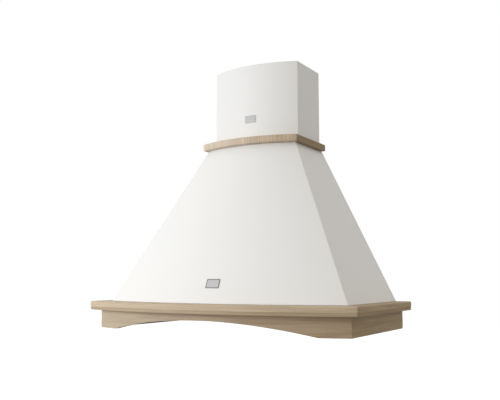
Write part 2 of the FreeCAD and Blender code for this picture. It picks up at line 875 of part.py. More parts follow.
def filter_frame():
    """A cassette frame of channel, with hinge pins behind and a latch pocket in its front bar."""
    outer = block(
        "filter_outer", (FILTER_NEAR, FILTER_FAR), (FILTER_FRONT, -s.filter_back), (FILTER_LOW, FILTER_TOP)
    )
    window_x = (FILTER_NEAR + s.filter_bar, FILTER_FAR - s.filter_bar)
    window_y = (FILTER_FRONT + s.filter_front_bar, -s.filter_back - s.filter_bar)
    through = (FILTER_LOW - s.cut_over, FILTER_TOP + s.cut_over)
    window = block("filter_window", window_x, window_y, through)
    groove_x = (window_x[0] - s.mesh_grip, window_x[1] + s.mesh_grip)
    groove_y = (window_y[0] - s.mesh_grip, window_y[1] + s.mesh_grip)
    groove = block("filter_groove", groove_x, groove_y, mesh_levels())
    pocket_half = s.latch_wide / 2 + s.seat_gap
    pocket_front = FILTER_FRONT + s.latch_inset
    pocket_rear = pocket_front + 2 * s.seat_gap + s.latch_long + s.latch_travel
    pocket = block(
        "filter_pocket",
        (FILTER_MIDDLE - pocket_half, FILTER_MIDDLE + pocket_half),
        (pocket_front, pocket_rear),
        (FILTER_LOW - s.cut_over, LATCH_TOP + s.seat_gap),
    )
    slot_half = s.tongue_wide / 2 + s.seat_gap
    slot = block(
        "filter_slot",
        (FILTER_MIDDLE - slot_half, FILTER_MIDDLE + slot_half),
        (FILTER_FRONT - s.cut_over, pocket_front + s.latch_inset / 2),
        (PAN_TOP, LATCH_TOP + s.seat_gap),
    )
    frame = cut("filter_bars", outer, window, groove, pocket, slot)
    heel = s.hinge_pin_long
    pin = rod(
        "filter_pin",
        "x",
        (HINGE_Y, HINGE_Z),
        FILTER_NEAR - heel,
        FILTER_FAR + heel,
        s.hinge_pin_radius,
    )
    between = block(
        "filter_pin_gap",
        (FILTER_NEAR + s.filter_bar / 2, FILTER_FAR - s.filter_bar / 2),
        (HINGE_Y - 2 * s.hinge_pin_radius, HINGE_Y + 2 * s.hinge_pin_radius),
        (HINGE_Z - 2 * s.hinge_pin_radius, HINGE_Z + 2 * s.hinge_pin_radius),
    )
    return fuse("filter_frame", frame, cut("filter_pins", pin, between))


def mesh_levels():
    """The low and high faces of the filter mesh, midway up its frame."""
    low = FILTER_LOW + (s.filter_thick - s.mesh_thick) / 2
    return low, low + s.mesh_thick


def filter_mesh():
    """The layered mesh as one pad, gripped by the frame's channel on all four sides."""
    grip = s.mesh_grip - s.seat_gap
    across = (FILTER_NEAR + s.filter_bar - grip, FILTER_FAR - s.filter_bar + grip)
    along = (FILTER_FRONT + s.filter_front_bar - grip, grip - s.filter_back - s.filter_bar)
    return block("filter_mesh", across, along, mesh_levels())


LATCH_LOW = PAN_TOP + s.seat_gap + s.tongue_thick - s.latch_high
LATCH_TOP = PAN_TOP + s.seat_gap + s.tongue_thick
LATCH_FRONT = FILTER_FRONT + s.latch_inset + s.seat_gap


def filter_latch():
    """A sliding latch: a slab with a tongue over the pan's edge and a grip bar below."""
    slab_x = (FILTER_MIDDLE - s.latch_wide / 2, FILTER_MIDDLE + s.latch_wide / 2)
    slab = block("latch_slab", slab_x, (LATCH_FRONT, LATCH_FRONT + s.latch_long), (LATCH_LOW, LATCH_TOP))
    tip = FILTER_FRONT - s.filter_slip - s.latch_bite
    tongue_x = (FILTER_MIDDLE - s.tongue_wide / 2, FILTER_MIDDLE + s.tongue_wide / 2)
    tongue = block("latch_tongue", tongue_x, (tip, LATCH_FRONT), (LATCH_TOP - s.tongue_thick, LATCH_TOP))
    grip_x = (FILTER_MIDDLE - s.grip_wide / 2, FILTER_MIDDLE + s.grip_wide / 2)
    middle = LATCH_FRONT + s.latch_long / 2
    grip_y = (middle - s.grip_thick / 2, middle + s.grip_thick / 2)
    grip = block("latch_grip", grip_x, grip_y, (LATCH_LOW - s.grip_drop, LATCH_LOW))
    return fuse("filter_latch", slab, tongue, grip)


both_sides("filter_frame", filter_frame())
both_sides("filter_mesh", filter_mesh())
both_sides("filter_latch", filter_latch())


def filter_hangers():
    """Four small plates on the pan that carry the filters' hinge pins."""
    pieces = []
    for edge, way in ((FILTER_NEAR - s.filter_slip, -1), (FILTER_FAR + s.filter_slip, 1)):
        across = sorted((edge, edge + way * s.hanger_thick), key=number_of)
        along = (HINGE_Y - s.hanger_half, HINGE_Y + s.hanger_half)
        plate = block("hanger_plate", across, along, (PAN_TOP, HINGE_Z + s.hanger_half))
        bore_radius = s.hinge_pin_radius + s.running_gap
        over = (across[0] - s.cut_over / 2, across[1] + s.cut_over / 2)
        bore = rod("hanger_bore", "x", (HINGE_Y, HINGE_Z), *over, bore_radius)
        plate = cut("hanger", plate, bore)
        pieces += [plate, mirrored("hanger_left", plate)]
    return group("filter_hangers", pieces)


keep("filter_hangers", filter_hangers())

# Lamps: a ring with a neck through the pan, a glass resting on its lip, and the can above


def lamp_ring():
    outer = s.lamp_neck_radius
    bore = outer - s.lamp_neck_wall
    low = PAN_LOW - s.lamp_ring_high
    profile = [
        (s.lamp_sight_radius, low),
        (s.lamp_ring_radius - s.lamp_ring_high, low),
        (s.lamp_ring_radius, PAN_LOW),
        (outer, PAN_LOW),
        (outer, PAN_LOW + s.lamp_neck_high),
        (bore, PAN_LOW + s.lamp_neck_high),
        (bore, low + s.lamp_lip),
        (s.lamp_sight_radius, low + s.lamp_lip),
    ]
    return turned("lamp_ring", "front", "V_Axis", (LAMP_OUT, 0, -LAMP_FORWARD), profile)


LAMP_BORE = s.lamp_neck_radius - s.lamp_neck_wall
LENS_LOW = PAN_LOW - s.lamp_ring_high + s.lamp_lip
LENS_TOP = LENS_LOW + s.lens_thick


def lamp_lens():
    """A plain glass disc that rests on the ring's lip."""
    rim = LAMP_BORE - s.lamp_slip
    return rod("lamp_lens", "z", (LAMP_OUT, -LAMP_FORWARD), LENS_LOW, LENS_TOP, rim)


def lamp_can():
    """The lamp's can: a cup upside down on the glass."""
    radius = LAMP_BORE - s.lamp_slip
    wall = s.lamp_neck_wall
    low = LENS_TOP
    high = low + s.lamp_can_high
    profile = [
        (radius, low),
        (radius, high),
        (0, high),
        (0, high - wall),
        (radius - wall, high - wall),
        (radius - wall, low),
    ]
    return turned("lamp_can", "front", "V_Axis", (LAMP_OUT, 0, -LAMP_FORWARD), profile)


keep("lamp_rings", pair("lamp_rings", lamp_ring()))
keep("lamp_lenses", pair("lamp_lenses", lamp_lens()))
keep("lamp_cans", pair("lamp_cans", lamp_can()))

# Controls: a bezel below the pan, a switch block above it and five spring loaded buttons

BEZEL_LOW = PAN_LOW - s.bezel_thick
BUTTON_PLACES = [s.button_pitch * place for place in (-2, -1, 0, 1, 2)]
BUTTON_LOW = BEZEL_LOW - s.button_proud
BUTTON_BORE = s.button_radius + s.seat_gap
BUTTON_NAMES = ("light", "stop", "speed_low", "speed_mid", "speed_high")


def control_bezel():
    half, deep = s.bezel_wide / 2, s.bezel_deep / 2
    holes = [(x, 0, BUTTON_BORE) for x in BUTTON_PLACES]
    holes.append((s.pilot_out, 0, s.pilot_radius + s.running_gap))
    outline = rounded_rectangle(-half, -deep, half, deep, s.bezel_round)
    place = (0, -CONTROL_FORWARD)
    return prism("control_bezel", "plan", BEZEL_LOW, PAN_LOW, outline, *holes, centre=place)


def switch_block():
    """The switch block, bored from below for the buttons and the pilot lens."""
    half, deep = s.switch_wide / 2, s.switch_deep / 2
    middle = -CONTROL_FORWARD
    solid = block(
        "switch_solid", (-half, half), (middle - deep, middle + deep), (PAN_LOW, PAN_LOW + s.switch_high)
    )
    top = BUTTON_LOW + s.button_long + s.button_travel + s.seat_gap
    bores = []
    for x in BUTTON_PLACES:
        bores.append(rod("switch_bore", "z", (x, middle), PAN_LOW - s.cut_over, top, BUTTON_BORE))
    pilot_top = BEZEL_LOW + s.pilot_long + s.seat_gap
    pilot_bore = s.pilot_radius + s.running_gap
    bores.append(rod("pilot_bore", "z", (s.pilot_out, middle), PAN_LOW - s.cut_over, pilot_top, pilot_bore))
    return cut("switch_block", solid, *bores)


def push_button(name, x):
    """A round cap that slides in the bezel and the switch block."""
    top = BUTTON_LOW + s.button_long
    return rod(name, "z", (x, -CONTROL_FORWARD), BUTTON_LOW, top, s.button_radius)


keep("control_bezel", control_bezel())
keep("switch_block", switch_block())
for name, x in zip(BUTTON_NAMES, BUTTON_PLACES):
    keep(f"button_{name}", push_button(f"button_{name}", x))
pilot_place = (s.pilot_out, -CONTROL_FORWARD)
keep("pilot_lens", rod("pilot_lens", "z", pilot_place, BEZEL_LOW, BEZEL_LOW + s.pilot_long, s.pilot_radius))

# Blower: a scroll of three growing arcs in two halves, open to both sides through flared inlets

OUTLET_REAR = s.outlet_deep / 2 - OUTLET_FORWARD
OUTLET_FRONT = OUTLET_REAR - s.outlet_deep
ROTOR_Y = OUTLET_REAR - s.scroll_radius - 3 * s.scroll_step
ROTOR = (ROTOR_Y, ROTOR_UP)


def scroll_outline(grow, top):
    """The scroll seen from the side, with its arcs and its neck walls moved out by grow."""
    first = s.scroll_radius + grow
    second = first + s.scroll_step
    third = second + s.scroll_step
    across, up = ROTOR_Y, ROTOR_UP
    tongue = OUTLET_FRONT - grow
    rear = OUTLET_REAR + grow
    return [
        (tongue, top),
        (tongue, up + leg(first, tongue - across)),
        (across, up + first, first, -1),
        (across - first, up, first, -1),
        (across + s.scroll_step, up - second, second, -1),
        (rear, up + s.scroll_step, third, -1),
        (rear, top),
    ]


def blower_case():
    """The right half: a side wall with its flared inlet, the scroll's band and half the flange."""
    wide, wall = s.case_half_wide, s.case_wall
    outer = prism("case_outer", "side", 0, wide, scroll_outline(wall, CASE_TOP))
    inside = scroll_outline(0, CASE_TOP + s.cut_over)
    inner = prism("case_inner", "side", -s.cut_over, wide - wall, inside)
    mouth_radius = s.bell_radius + s.bell_flare
    mouth = rod("case_mouth", "x", ROTOR, wide - 2 * wall, wide + s.cut_over, mouth_radius)
    shell = cut("case_shell", outer, inner, mouth)
    flange = s.case_flange
    flange_y = (OUTLET_FRONT - wall - flange, OUTLET_REAR + wall + flange)
    plate = block("case_flange", (0, wide + flange), flange_y, (CASE_TOP - wall, CASE_TOP))
    hole = block(
        "case_flange_hole",
        (-s.cut_over, wide - wall),
        (OUTLET_FRONT, OUTLET_REAR),
        (CASE_TOP - 2 * wall, CASE_TOP + s.cut_over),
    )
    bell_profile = [
        (wide, mouth_radius),
        (wide - s.bell_flare, s.bell_radius),
        (wide - s.bell_flare, s.bell_radius + wall),
        (wide - wall, mouth_radius + wall),
        (wide, mouth_radius + wall),
    ]
    bell = turned("case_bell", "front", "H_Axis", (0, ROTOR_UP, ROTOR_Y), bell_profile)
    return fuse("blower_case", shell, cut("case_flange_open", plate, hole), bell)


both_sides("blower_case", blower_case())

# Rotor: forward curved blades between two rings, on a middle disc with a hub

MOTOR_REAR = -s.case_half_wide
MOTOR_FACE = MOTOR_REAR + s.motor_long
HUB_LOW = MOTOR_FACE + s.hub_clear
HUB_HIGH = HUB_LOW + s.hub_long
SHAFT_HIGH = HUB_HIGH + s.ring_thick
SHAFT_LOW = SHAFT_HIGH - s.shaft_long
SHAFT_BORE = s.shaft_radius + s.running_gap


def impeller():
    """The drum of the blower; a blade is a thin arc, hollow side leading, its tip ahead of its root."""
    made = new_body("impeller_drum")
    disc = s.ring_thick / 2
    add_pad(made, "side", -disc, disc, [(0, 0, s.blade_outer_radius), (0, 0, SHAFT_BORE)], ROTOR)
    inner, outer, half = s.blade_inner_radius, s.blade_outer_radius, s.blade_thick / 2
    lean = math.radians(BLADE_LEAN_DEGREES)
    tip = (outer * math.cos(lean), outer * math.sin(lean))
    blade = [
        (inner, -half),
        (tip[0], tip[1] - half, s.blade_bow_radius, -1),
        (tip[0], tip[1] + half),
        (inner, half, s.blade_bow_radius, 1),
    ]
    first_blade = add_pad(made, "side", -s.rotor_half_wide, s.rotor_half_wide, [blade], ROTOR)
    add_pattern(made, first_blade, BLADE_COUNT)
    annulus = [(0, 0, outer + s.ring_over), (0, 0, inner - s.ring_over)]
    add_pad(made, "side", -s.rotor_half_wide, s.ring_thick - s.rotor_half_wide, annulus, ROTOR)
    add_pad(made, "side", s.rotor_half_wide - s.ring_thick, s.rotor_half_wide, annulus, ROTOR)
    add_pad(made, "side", HUB_LOW, HUB_HIGH, [(0, 0, s.hub_radius), (0, 0, SHAFT_BORE)], ROTOR)
    return made


def motor_can():
    """The motor, a turned can with a blind bore for its shaft."""
    bore_end = SHAFT_LOW - s.seat_gap
    profile = [
        (MOTOR_REAR, 0),
        (bore_end, 0),
        (bore_end, SHAFT_BORE),
        (MOTOR_FACE, SHAFT_BORE),
        (MOTOR_FACE, s.motor_radius),
        (MOTOR_REAR, s.motor_radius),
    ]
    return turned("motor_can", "front", "H_Axis", (0, ROTOR_UP, ROTOR_Y), profile)


def guard(label, low, high, hub_radius, arm_wide, arm_count, ring_shares):
    """A flat moulding over an inlet: a hub, arms, and rings at shares of the rim's radius."""
    made = new_body(label)
    add_pad(made, "side", low, high, [(0, 0, hub_radius)], ROTOR)
    rim = s.spider_ring_inner + s.grille_bar
    arm = rectangle(-arm_wide / 2, 0, arm_wide / 2, rim)
    add_pattern(made, add_pad(made, "side", low, high, [arm], ROTOR), arm_count)
    add_pad(made, "side", low, high, [(0, 0, s.spider_ring_outer), (0, 0, s.spider_ring_inner)], ROTOR)
    for share in ring_shares:
        middle = s.spider_ring_inner * share
        hoop = [(0, 0, middle + s.grille_bar / 2), (0, 0, middle - s.grille_bar / 2)]
        add_pad(made, "side", low, high, hoop, ROTOR)
    return made


keep("impeller", impeller())
keep("fan_shaft", rod("fan_shaft", "x", ROTOR, SHAFT_LOW, SHAFT_HIGH, s.shaft_radius))
keep("motor_can", motor_can())
left_guard = (-s.case_half_wide - s.spider_thick, -s.case_half_wide)
right_guard = (s.case_half_wide, s.case_half_wide + s.spider_thick)
spider_hub = s.motor_radius - s.spider_hub_step
keep("motor_spider", guard("motor_spider", *left_guard, spider_hub, s.spider_arm_wide, SPIDER_ARMS, ()))
grille = guard(
    "inlet_grille", *right_guard, s.grille_hub_radius, s.grille_bar, GRILLE_SPOKES, GRILLE_RING_SHARES
)
keep("inlet_grille", grille)

# Shelf on the wall panel that carries the blower, and the outlet above it


def blower_shelf():
    """A folded shelf with its rear edge turned down against the wall panel."""
    rear = -s.panel_thick
    front_of_drop = rear - s.shelf_thick
    low = CASE_TOP - s.shelf_drop
    outline = [
        (-s.shelf_deep, CASE_TOP),
        (front_of_drop, CASE_TOP),
        (front_of_drop, low),
        (rear, low),
        (rear, SHELF_TOP),
        (-s.shelf_deep, SHELF_TOP),
    ]
    sheet_metal = prism("shelf_fold", "side", -s.shelf_half_wide, s.shelf_half_wide, outline)
    half = s.case_half_wide - s.case_wall
    through = (CASE_TOP - s.cut_over, SHELF_TOP + s.cut_over)
    opening = block("shelf_opening", (-half, half), (OUTLET_FRONT, OUTLET_REAR), through)
    holes = []
    for place in shelf_screw_places():
        radius = s.screw_radius + s.running_gap
        holes.append(rod("shelf_screw_hole", "y", place, front_of_drop - s.cut_over, s.cut_over, radius))
    return cut("blower_shelf", sheet_metal, opening, *holes)


def hopper(name, low, high, grow):
    """A solid ruled between the case's outlet and a square under the spigot, grown by a wall."""
    half = s.case_half_wide - s.case_wall + grow
    middle = -OUTLET_FORWARD
    reach = s.spigot_radius + grow
    outlet = rectangle(-half, OUTLET_FRONT - grow, half, OUTLET_REAR + grow)
    square = rectangle(-reach, middle - reach, reach, middle + reach)
    sections = []
    for level, outline in ((low, outlet), (high, square)):
        sections.append(new_sketch(new_body(f"{name}_section"), "plan", level, [outline]))
    made = doc.addObject("Part::Loft", name)
    made.Sections = sections
    made.Solid = True
    made.Ruled = True
    return made


def outlet_adapter():
    """A hopper on the shelf whose top plate is open for the round spigot."""
    wall = s.case_wall
    middle = (0, -OUTLET_FORWARD)
    outer = hopper("adapter_outer", SHELF_TOP, SPIGOT_LOW, wall)
    inner = hopper("adapter_inner", SHELF_TOP, SPIGOT_LOW - wall, 0)
    bore = s.spigot_radius - s.spigot_wall
    mouth = rod("adapter_mouth", "z", middle, SPIGOT_LOW - 2 * wall, SPIGOT_LOW + s.cut_over, bore)
    return cut("outlet_adapter", outer, inner, mouth)


FLAP_LOW = SEAT_TOP + s.seat_gap
FLAP_AXIS_UP = FLAP_LOW + s.barrel_radius
EAR_LOW_X = s.barrel_half_long + s.seat_gap
EAR_HIGH_X = EAR_LOW_X + s.ear_thick
FLAP_AXES = [(-OUTLET_FORWARD + way * s.barrel_off, FLAP_AXIS_UP) for way in (-1, 1)]


def duct_spigot():
    """The round outlet with a seat for the two flaps, a middle bar and the ears for their pins."""
    outer = s.spigot_radius
    bore = outer - s.spigot_wall
    lip = bore - s.seat_lip
    seat_low = SEAT_TOP - s.seat_thick
    high = SPIGOT_LOW + s.spigot_high
    profile = [
        (bore, SPIGOT_LOW),
        (outer, SPIGOT_LOW),
        (outer, high),
        (bore, high),
        (bore, SEAT_TOP),
        (lip, SEAT_TOP),
        (lip, seat_low),
        (bore, seat_low),
    ]
    ring_wall = turned("spigot_wall", "front", "V_Axis", (0, 0, -OUTLET_FORWARD), profile)
    middle = -OUTLET_FORWARD
    reach = bore - s.seat_lip / 2
    along = (middle - s.damper_bar_half, middle + s.damper_bar_half)
    pieces = [ring_wall, block("spigot_bar", (-reach, reach), along, (seat_low, SEAT_TOP))]
    ear_half = s.barrel_off + s.ear_reach
    for side in (-1, 1):
        across = sorted((side * EAR_LOW_X, side * EAR_HIGH_X), key=number_of)
        ear_y = (middle - ear_half, middle + ear_half)
        pieces.append(block("spigot_ear", across, ear_y, (SEAT_TOP, FLAP_AXIS_UP + s.ear_reach)))
    radius = s.flap_pin_radius + s.running_gap
    past = EAR_HIGH_X + s.ear_thick
    holes = [rod("spigot_pin_hole", "x", axis, -past, past, radius) for axis in FLAP_AXES]
    return cut("duct_spigot", fuse("spigot", *pieces), *holes)


def damper_flap():
    """The rear flap: most of a half disc hung on a barrel, notched where the ears stand."""
    chord = leg(s.flap_radius, s.barrel_off)
    middle = (0, -OUTLET_FORWARD)
    half_disc = [(chord, s.barrel_off), (-chord, s.barrel_off, s.flap_radius, -1)]
    plate = prism("flap_plate", "plan", FLAP_LOW, FLAP_LOW + s.flap_thick, half_disc, centre=middle)
    reach = s.barrel_half_long
    barrel = rod("flap_barrel", "x", FLAP_AXES[1], -reach, reach, s.barrel_radius)
    tools = []
    bore_reach = s.flap_radius + s.cut_over
    bore_radius = s.flap_pin_radius + s.running_gap
    tools.append(rod("flap_bore", "x", FLAP_AXES[1], -bore_reach, bore_reach, bore_radius))
    notch_y = (-OUTLET_FORWARD, s.barrel_off + s.flap_notch - OUTLET_FORWARD)
    notch_z = (FLAP_LOW - s.cut_over, FLAP_LOW + s.cut_over)
    for side in (-1, 1):
        across = sorted((side * reach, side * (EAR_HIGH_X + s.seat_gap)), key=number_of)
        tools.append(block("flap_notch", across, notch_y, notch_z))
    return cut("damper_flap", fuse("flap", plate, barrel), *tools)


def front_of(label, rear_piece):
    """The mirror image across the upright plane through the middle of the outlet."""
    made = doc.addObject("Part::Mirroring", f"{label}_mirror")
    made.Source = rear_piece
    made.Normal = V(0, 1, 0)
    tie(made, "Base.y", -OUTLET_FORWARD)
    return made


keep("blower_shelf", blower_shelf())
keep("outlet_adapter", outlet_adapter())
keep("duct_spigot", duct_spigot())
rear_flap = keep("damper_flap_rear", damper_flap())
keep("damper_flap_front", front_of("damper_flap_front", rear_flap))
pins = [rod("damper_pin", "x", axis, -EAR_HIGH_X, EAR_HIGH_X, s.flap_pin_radius) for axis in FLAP_AXES]
keep("damper_pins", group("damper_pins", pins))

# Electrics on the shelf: a capacitor, and a terminal box with the gland for the supply cable

BOX = (s.box_inner_edge, s.box_inner_edge + s.box_wide)
BOX_Y = (-s.box_back - s.box_deep, -s.box_back)
BOX_TOP = SHELF_TOP + s.box_high
LID_TOP = BOX_TOP + s.lid_thick
GLAND = ((BOX[0] + BOX[1]) / 2, (BOX_Y[0] + BOX_Y[1]) / 2)


def capacitor():
    radius, edge = s.capacitor_radius, s.capacitor_bevel
    high = SHELF_TOP + s.capacitor_high
    profile = [
        (0, SHELF_TOP),
        (radius, SHELF_TOP),
        (radius, high - edge),
        (radius - edge, high),
        (0, high),
    ]
    place = (-s.capacitor_out, 0, -s.capacitor_forward)
    return turned("run_capacitor", "front", "V_Axis", place, profile)


def terminal_box():
    outline = rounded_rectangle(BOX[0], BOX_Y[0], BOX[1], BOX_Y[1], s.box_round)
    outer = prism("box_outer", "plan", SHELF_TOP, BOX_TOP, outline)
    wall = s.box_wall
    inside = rounded_rectangle(
        BOX[0] + wall, BOX_Y[0] + wall, BOX[1] - wall, BOX_Y[1] - wall, s.box_round - wall / 2
    )
    inner = prism("box_inner", "plan", SHELF_TOP + wall, BOX_TOP + s.cut_over, inside)
    return cut("terminal_box", outer, inner)


def terminal_lid():
    outline = rounded_rectangle(BOX[0], BOX_Y[0], BOX[1], BOX_Y[1], s.box_round)
    hole = (*GLAND, s.gland_thread_radius + s.running_gap)
    return prism("terminal_lid", "plan", BOX_TOP, LID_TOP, outline, hole)


def cable_gland():
    """A gland with its thread through the lid, a hex nut and a round nose, bored for the cable."""
    bore = s.gland_bore_radius
    nut_top = LID_TOP + s.gland_nut_high
    profile = [
        (bore, LID_TOP - s.gland_thread_long),
        (s.gland_thread_radius, LID_TOP - s.gland_thread_long),
        (s.gland_thread_radius, nut_top),
        (s.gland_nose_radius, nut_top),
        (s.gland_nose_radius, LID_TOP + s.gland_high),
        (bore, LID_TOP + s.gland_high),
    ]
    nose = turned("gland_nose", "front", "V_Axis", (GLAND[0], 0, GLAND[1]), profile)
    nut = prism("gland_nut", "plan", LID_TOP, nut_top, hexagon(s.gland_radius), (0, 0, bore), centre=GLAND)
    return fuse("cable_gland", nose, nut)


keep("run_capacitor", capacitor())
keep("terminal_box", terminal_box())
keep("terminal_lid", terminal_lid())
keep("cable_gland", cable_gland())

# Screws, each group a node of its own


def pan_screws():
    seat = PAN_HALF - s.pan_thick
    pieces = []
    for place in pan_screw_places():
        centre = (place, PAN_SCREW_UP)
        outline = hexagon(s.screw_head_radius)
        head = prism("pan_screw_head", "side", seat - s.screw_head_high, seat, outline, centre=centre)
        shank = rod("pan_screw_shank", "x", centre, seat, PAN_SCREW_TIP, s.screw_radius)
        whole = fuse("pan_screw", head, shank)
        pieces += [whole, mirrored("pan_screw_left", whole)]
    return group("pan_screws", pieces)


def shelf_screws():
    seat = -s.panel_thick - s.shelf_thick
    pieces = []
    for place in shelf_screw_places():
        outline = hexagon(s.screw_head_radius)
        head = prism("shelf_screw_head", "front", seat - s.screw_head_high, seat, outline, centre=place)
        shank = rod("shelf_screw_shank", "y", place, seat, -s.seat_gap, s.screw_radius)
        pieces.append(fuse("shelf_screw", head, shank))
    return group("shelf_screws", pieces)


keep("pan_screws", pan_screws())
keep("shelf_screws", shelf_screws())

# Check every object and write each piece to its own file

doc.recompute()
for item in doc.Objects:
    if any(word in str(item.State) for word in ("Invalid", "Error")):
        raise RuntimeError(f"{item.Label} failed: {item.State}")
for item in kept:
    shape = item.Shape
    if shape.isNull() or not shape.isValid():
        raise RuntimeError(f"{item.Label} has no valid shape")
    shape.exportStep(os.path.join("parts", f"{item.Label}.step"))
    print(f"{item.Label}: {len(shape.Solids)} solids, {shape.Volume:.0f} mm3")
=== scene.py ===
"""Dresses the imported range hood: painted sheet metal, limed wood, filters, lamps and stage."""

import json
import logging
import math
from dataclasses import dataclass, replace
from enum import Enum
from typing import Any, Callable, ClassVar, Mapping, Optional, Sequence, Union

import bpy
import numpy as np
from mathutils import Matrix, Vector


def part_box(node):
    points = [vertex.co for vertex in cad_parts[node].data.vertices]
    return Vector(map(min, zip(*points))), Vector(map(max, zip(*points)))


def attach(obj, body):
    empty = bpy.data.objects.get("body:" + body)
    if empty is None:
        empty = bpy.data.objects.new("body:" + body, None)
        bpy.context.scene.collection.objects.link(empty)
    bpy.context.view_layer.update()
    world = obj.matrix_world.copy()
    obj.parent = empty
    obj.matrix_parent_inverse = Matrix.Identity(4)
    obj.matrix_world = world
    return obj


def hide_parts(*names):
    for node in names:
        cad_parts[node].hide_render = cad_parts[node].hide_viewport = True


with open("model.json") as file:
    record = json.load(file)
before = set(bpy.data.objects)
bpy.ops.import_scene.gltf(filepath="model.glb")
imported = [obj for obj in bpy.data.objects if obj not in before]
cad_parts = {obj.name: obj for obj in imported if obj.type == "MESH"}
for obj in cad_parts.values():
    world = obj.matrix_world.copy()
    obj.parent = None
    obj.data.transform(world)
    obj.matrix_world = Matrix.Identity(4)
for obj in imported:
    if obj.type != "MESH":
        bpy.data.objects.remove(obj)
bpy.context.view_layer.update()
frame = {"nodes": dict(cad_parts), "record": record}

LOG = logging.getLogger("range_hood")

Array = np.ndarray
Number = Union[int, float]
Pair = tuple[float, float]
Triple = tuple[float, float, float]
Colour = Triple


class Body(str, Enum):
    """The CAD bodies that pieces of this scene ride on."""

    HOOD = "hood"
    FILTER_LEFT = "filter_left"
    FILTER_RIGHT = "filter_right"
    UPPER_COVER = "upper_cover"


class Side(Enum):
    """Left and right of the hood, as a sign along X."""

    LEFT = -1
    RIGHT = 1

    @property
    def word(self) -> str:
        """The side's name as the nodes write it."""
        return self.name.lower()


# Shader graphs


class Signal:
    """A shader socket that can stand in an arithmetic expression."""

    def __init__(self, graph: "Graph", socket: bpy.types.NodeSocket) -> None:
        """Remember the socket and the graph that it belongs to."""
        self.graph = graph
        self.socket = socket

    def __add__(self, other: "Operand") -> "Signal":
        """This value plus another."""
        return self.graph.math("ADD", self, other)

    def __sub__(self, other: "Operand") -> "Signal":
        """This value less another."""
        return self.graph.math("SUBTRACT", self, other)

    def __rsub__(self, other: "Operand") -> "Signal":
        """Another value less this one."""
        return self.graph.math("SUBTRACT", other, self)

    def __mul__(self, other: "Operand") -> "Signal":
        """This value times another."""
        return self.graph.math("MULTIPLY", self, other)

    __radd__ = __add__
    __rmul__ = __mul__


Operand = Union[Signal, Number]


def rgba(colour: Colour, share: float = 1.0) -> tuple[float, float, float, float]:
    """A colour at a share of its strength, with full opacity."""
    return (*(share * part for part in colour), 1.0)


WHITE = rgba((1.0, 1.0, 1.0))


class Graph:
    """One material's node tree, with a method for each kind of node that the finishes share."""

    def __init__(self, owner: Union[bpy.types.Material, bpy.types.World]) -> None:
        """Empty the node tree of a material or of the world.

        Args:
            owner: What the nodes belong to.
        """
        owner.use_nodes = True
        self.owner = owner
        self.tree = owner.node_tree
        self.tree.nodes.clear()

    @classmethod
    def of_material(cls, name: str) -> "Graph":
        """A graph for a new material."""
        return cls(bpy.data.materials.new(name))

    def node(self, kind: str, settings: Mapping[str, Any],
             inputs: Mapping[Any, Any]) -> bpy.types.Node:
        """Add a node.

        Args:
            kind: The node's type.
            settings: Its properties, such as a Math node's operation, which are set first.
            inputs: Values or signals by socket name or number.

        Returns:
            The node.
        """
        made = self.tree.nodes.new(kind)
        for name, value in settings.items():
            setattr(made, name, value)
        for key, value in inputs.items():
            if isinstance(value, Signal):
                self.tree.links.new(value.socket, made.inputs[key])
            else:
                made.inputs[key].default_value = value
        return made

    def signal(self, kind: str, inputs: Mapping[Any, Any], output: Union[int, str] = 0,
               **settings: Any) -> Signal:
        """One output of a new node."""
        return Signal(self, self.node(kind, settings, inputs).outputs[output])

    def math(self, operation: str, first: Operand, second: Operand) -> Signal:
        """A Math node on two values."""
        return self.signal("ShaderNodeMath", {0: first, 1: second}, operation=operation)

    def place(self) -> Signal:
        """Object coordinates, which are the hood's own frame in metres."""
        return self.signal("ShaderNodeTexCoord", {}, "Object")

    def attribute(self, name: str) -> Signal:
        """A vector attribute of the mesh."""
        return self.signal("ShaderNodeAttribute", {}, "Vector", attribute_name=name)

    def stretched(self, vector: Signal, scale: Triple) -> Signal:
        """A vector scaled by a Mapping node."""
        return self.signal("ShaderNodeMapping", {"Vector": vector, "Scale": scale})

    def noise(self, vector: Signal, scale: float, detail: float = 2.0,
              distortion: float = 0.0) -> Signal:
        """Smooth noise between 0 and 1 about a mean of one half."""
        inputs = {"Vector": vector, "Scale": scale, "Detail": detail, "Distortion": distortion}
        return self.signal("ShaderNodeTexNoise", inputs)

    def part_of(self, vector: Signal, axis: int) -> Signal:
        """One component of a vector."""
        return self.signal("ShaderNodeSeparateXYZ", {0: vector}, axis)

    def joined(self, x: Operand, y: Operand, z: Operand) -> Signal:
        """A vector from three values."""
        return self.signal("ShaderNodeCombineXYZ", {0: x, 1: y, 2: z})

    def window(self, value: Operand, low: float, high: float) -> Signal:
        """A smooth step from 0 below the low value to 1 above the high one."""
        inputs = {"Value": value, "From Min": low, "From Max": high, "To Min": 0.0, "To Max": 1.0}
        return self.signal("ShaderNodeMapRange", inputs, interpolation_type="SMOOTHSTEP")

    def mix(self, factor: Operand, first: Any, second: Any, blend: str = "MIX") -> Signal:
        """A mix of two colours, each a signal or RGBA, by the share of the second."""
        inputs = {0: factor, 6: first, 7: second}
        return self.signal("ShaderNodeMix", inputs, 2, data_type="RGBA", blend_type=blend)

    def bump(self, height: Signal, distance: float, strength: float = 1.0) -> Signal:
        """A normal from a height in the unit of distance, in metres."""
        inputs = {"Height": height, "Distance": distance, "Strength": strength}
        return self.signal("ShaderNodeBump", inputs)

    def ended(self, shader: Signal, output: str = "ShaderNodeOutputMaterial") -> Any:
        """Link the last shader to the output and return what the nodes belong to."""
        self.node(output, {}, {0: shader})
        return self.owner

    def principled(self, inputs: Mapping[str, Any]) -> bpy.types.Material:
        """End the graph in a Principled surface and return the finished material."""
        return self.ended(self.signal("ShaderNodeBsdfPrincipled", inputs))


# Finishes


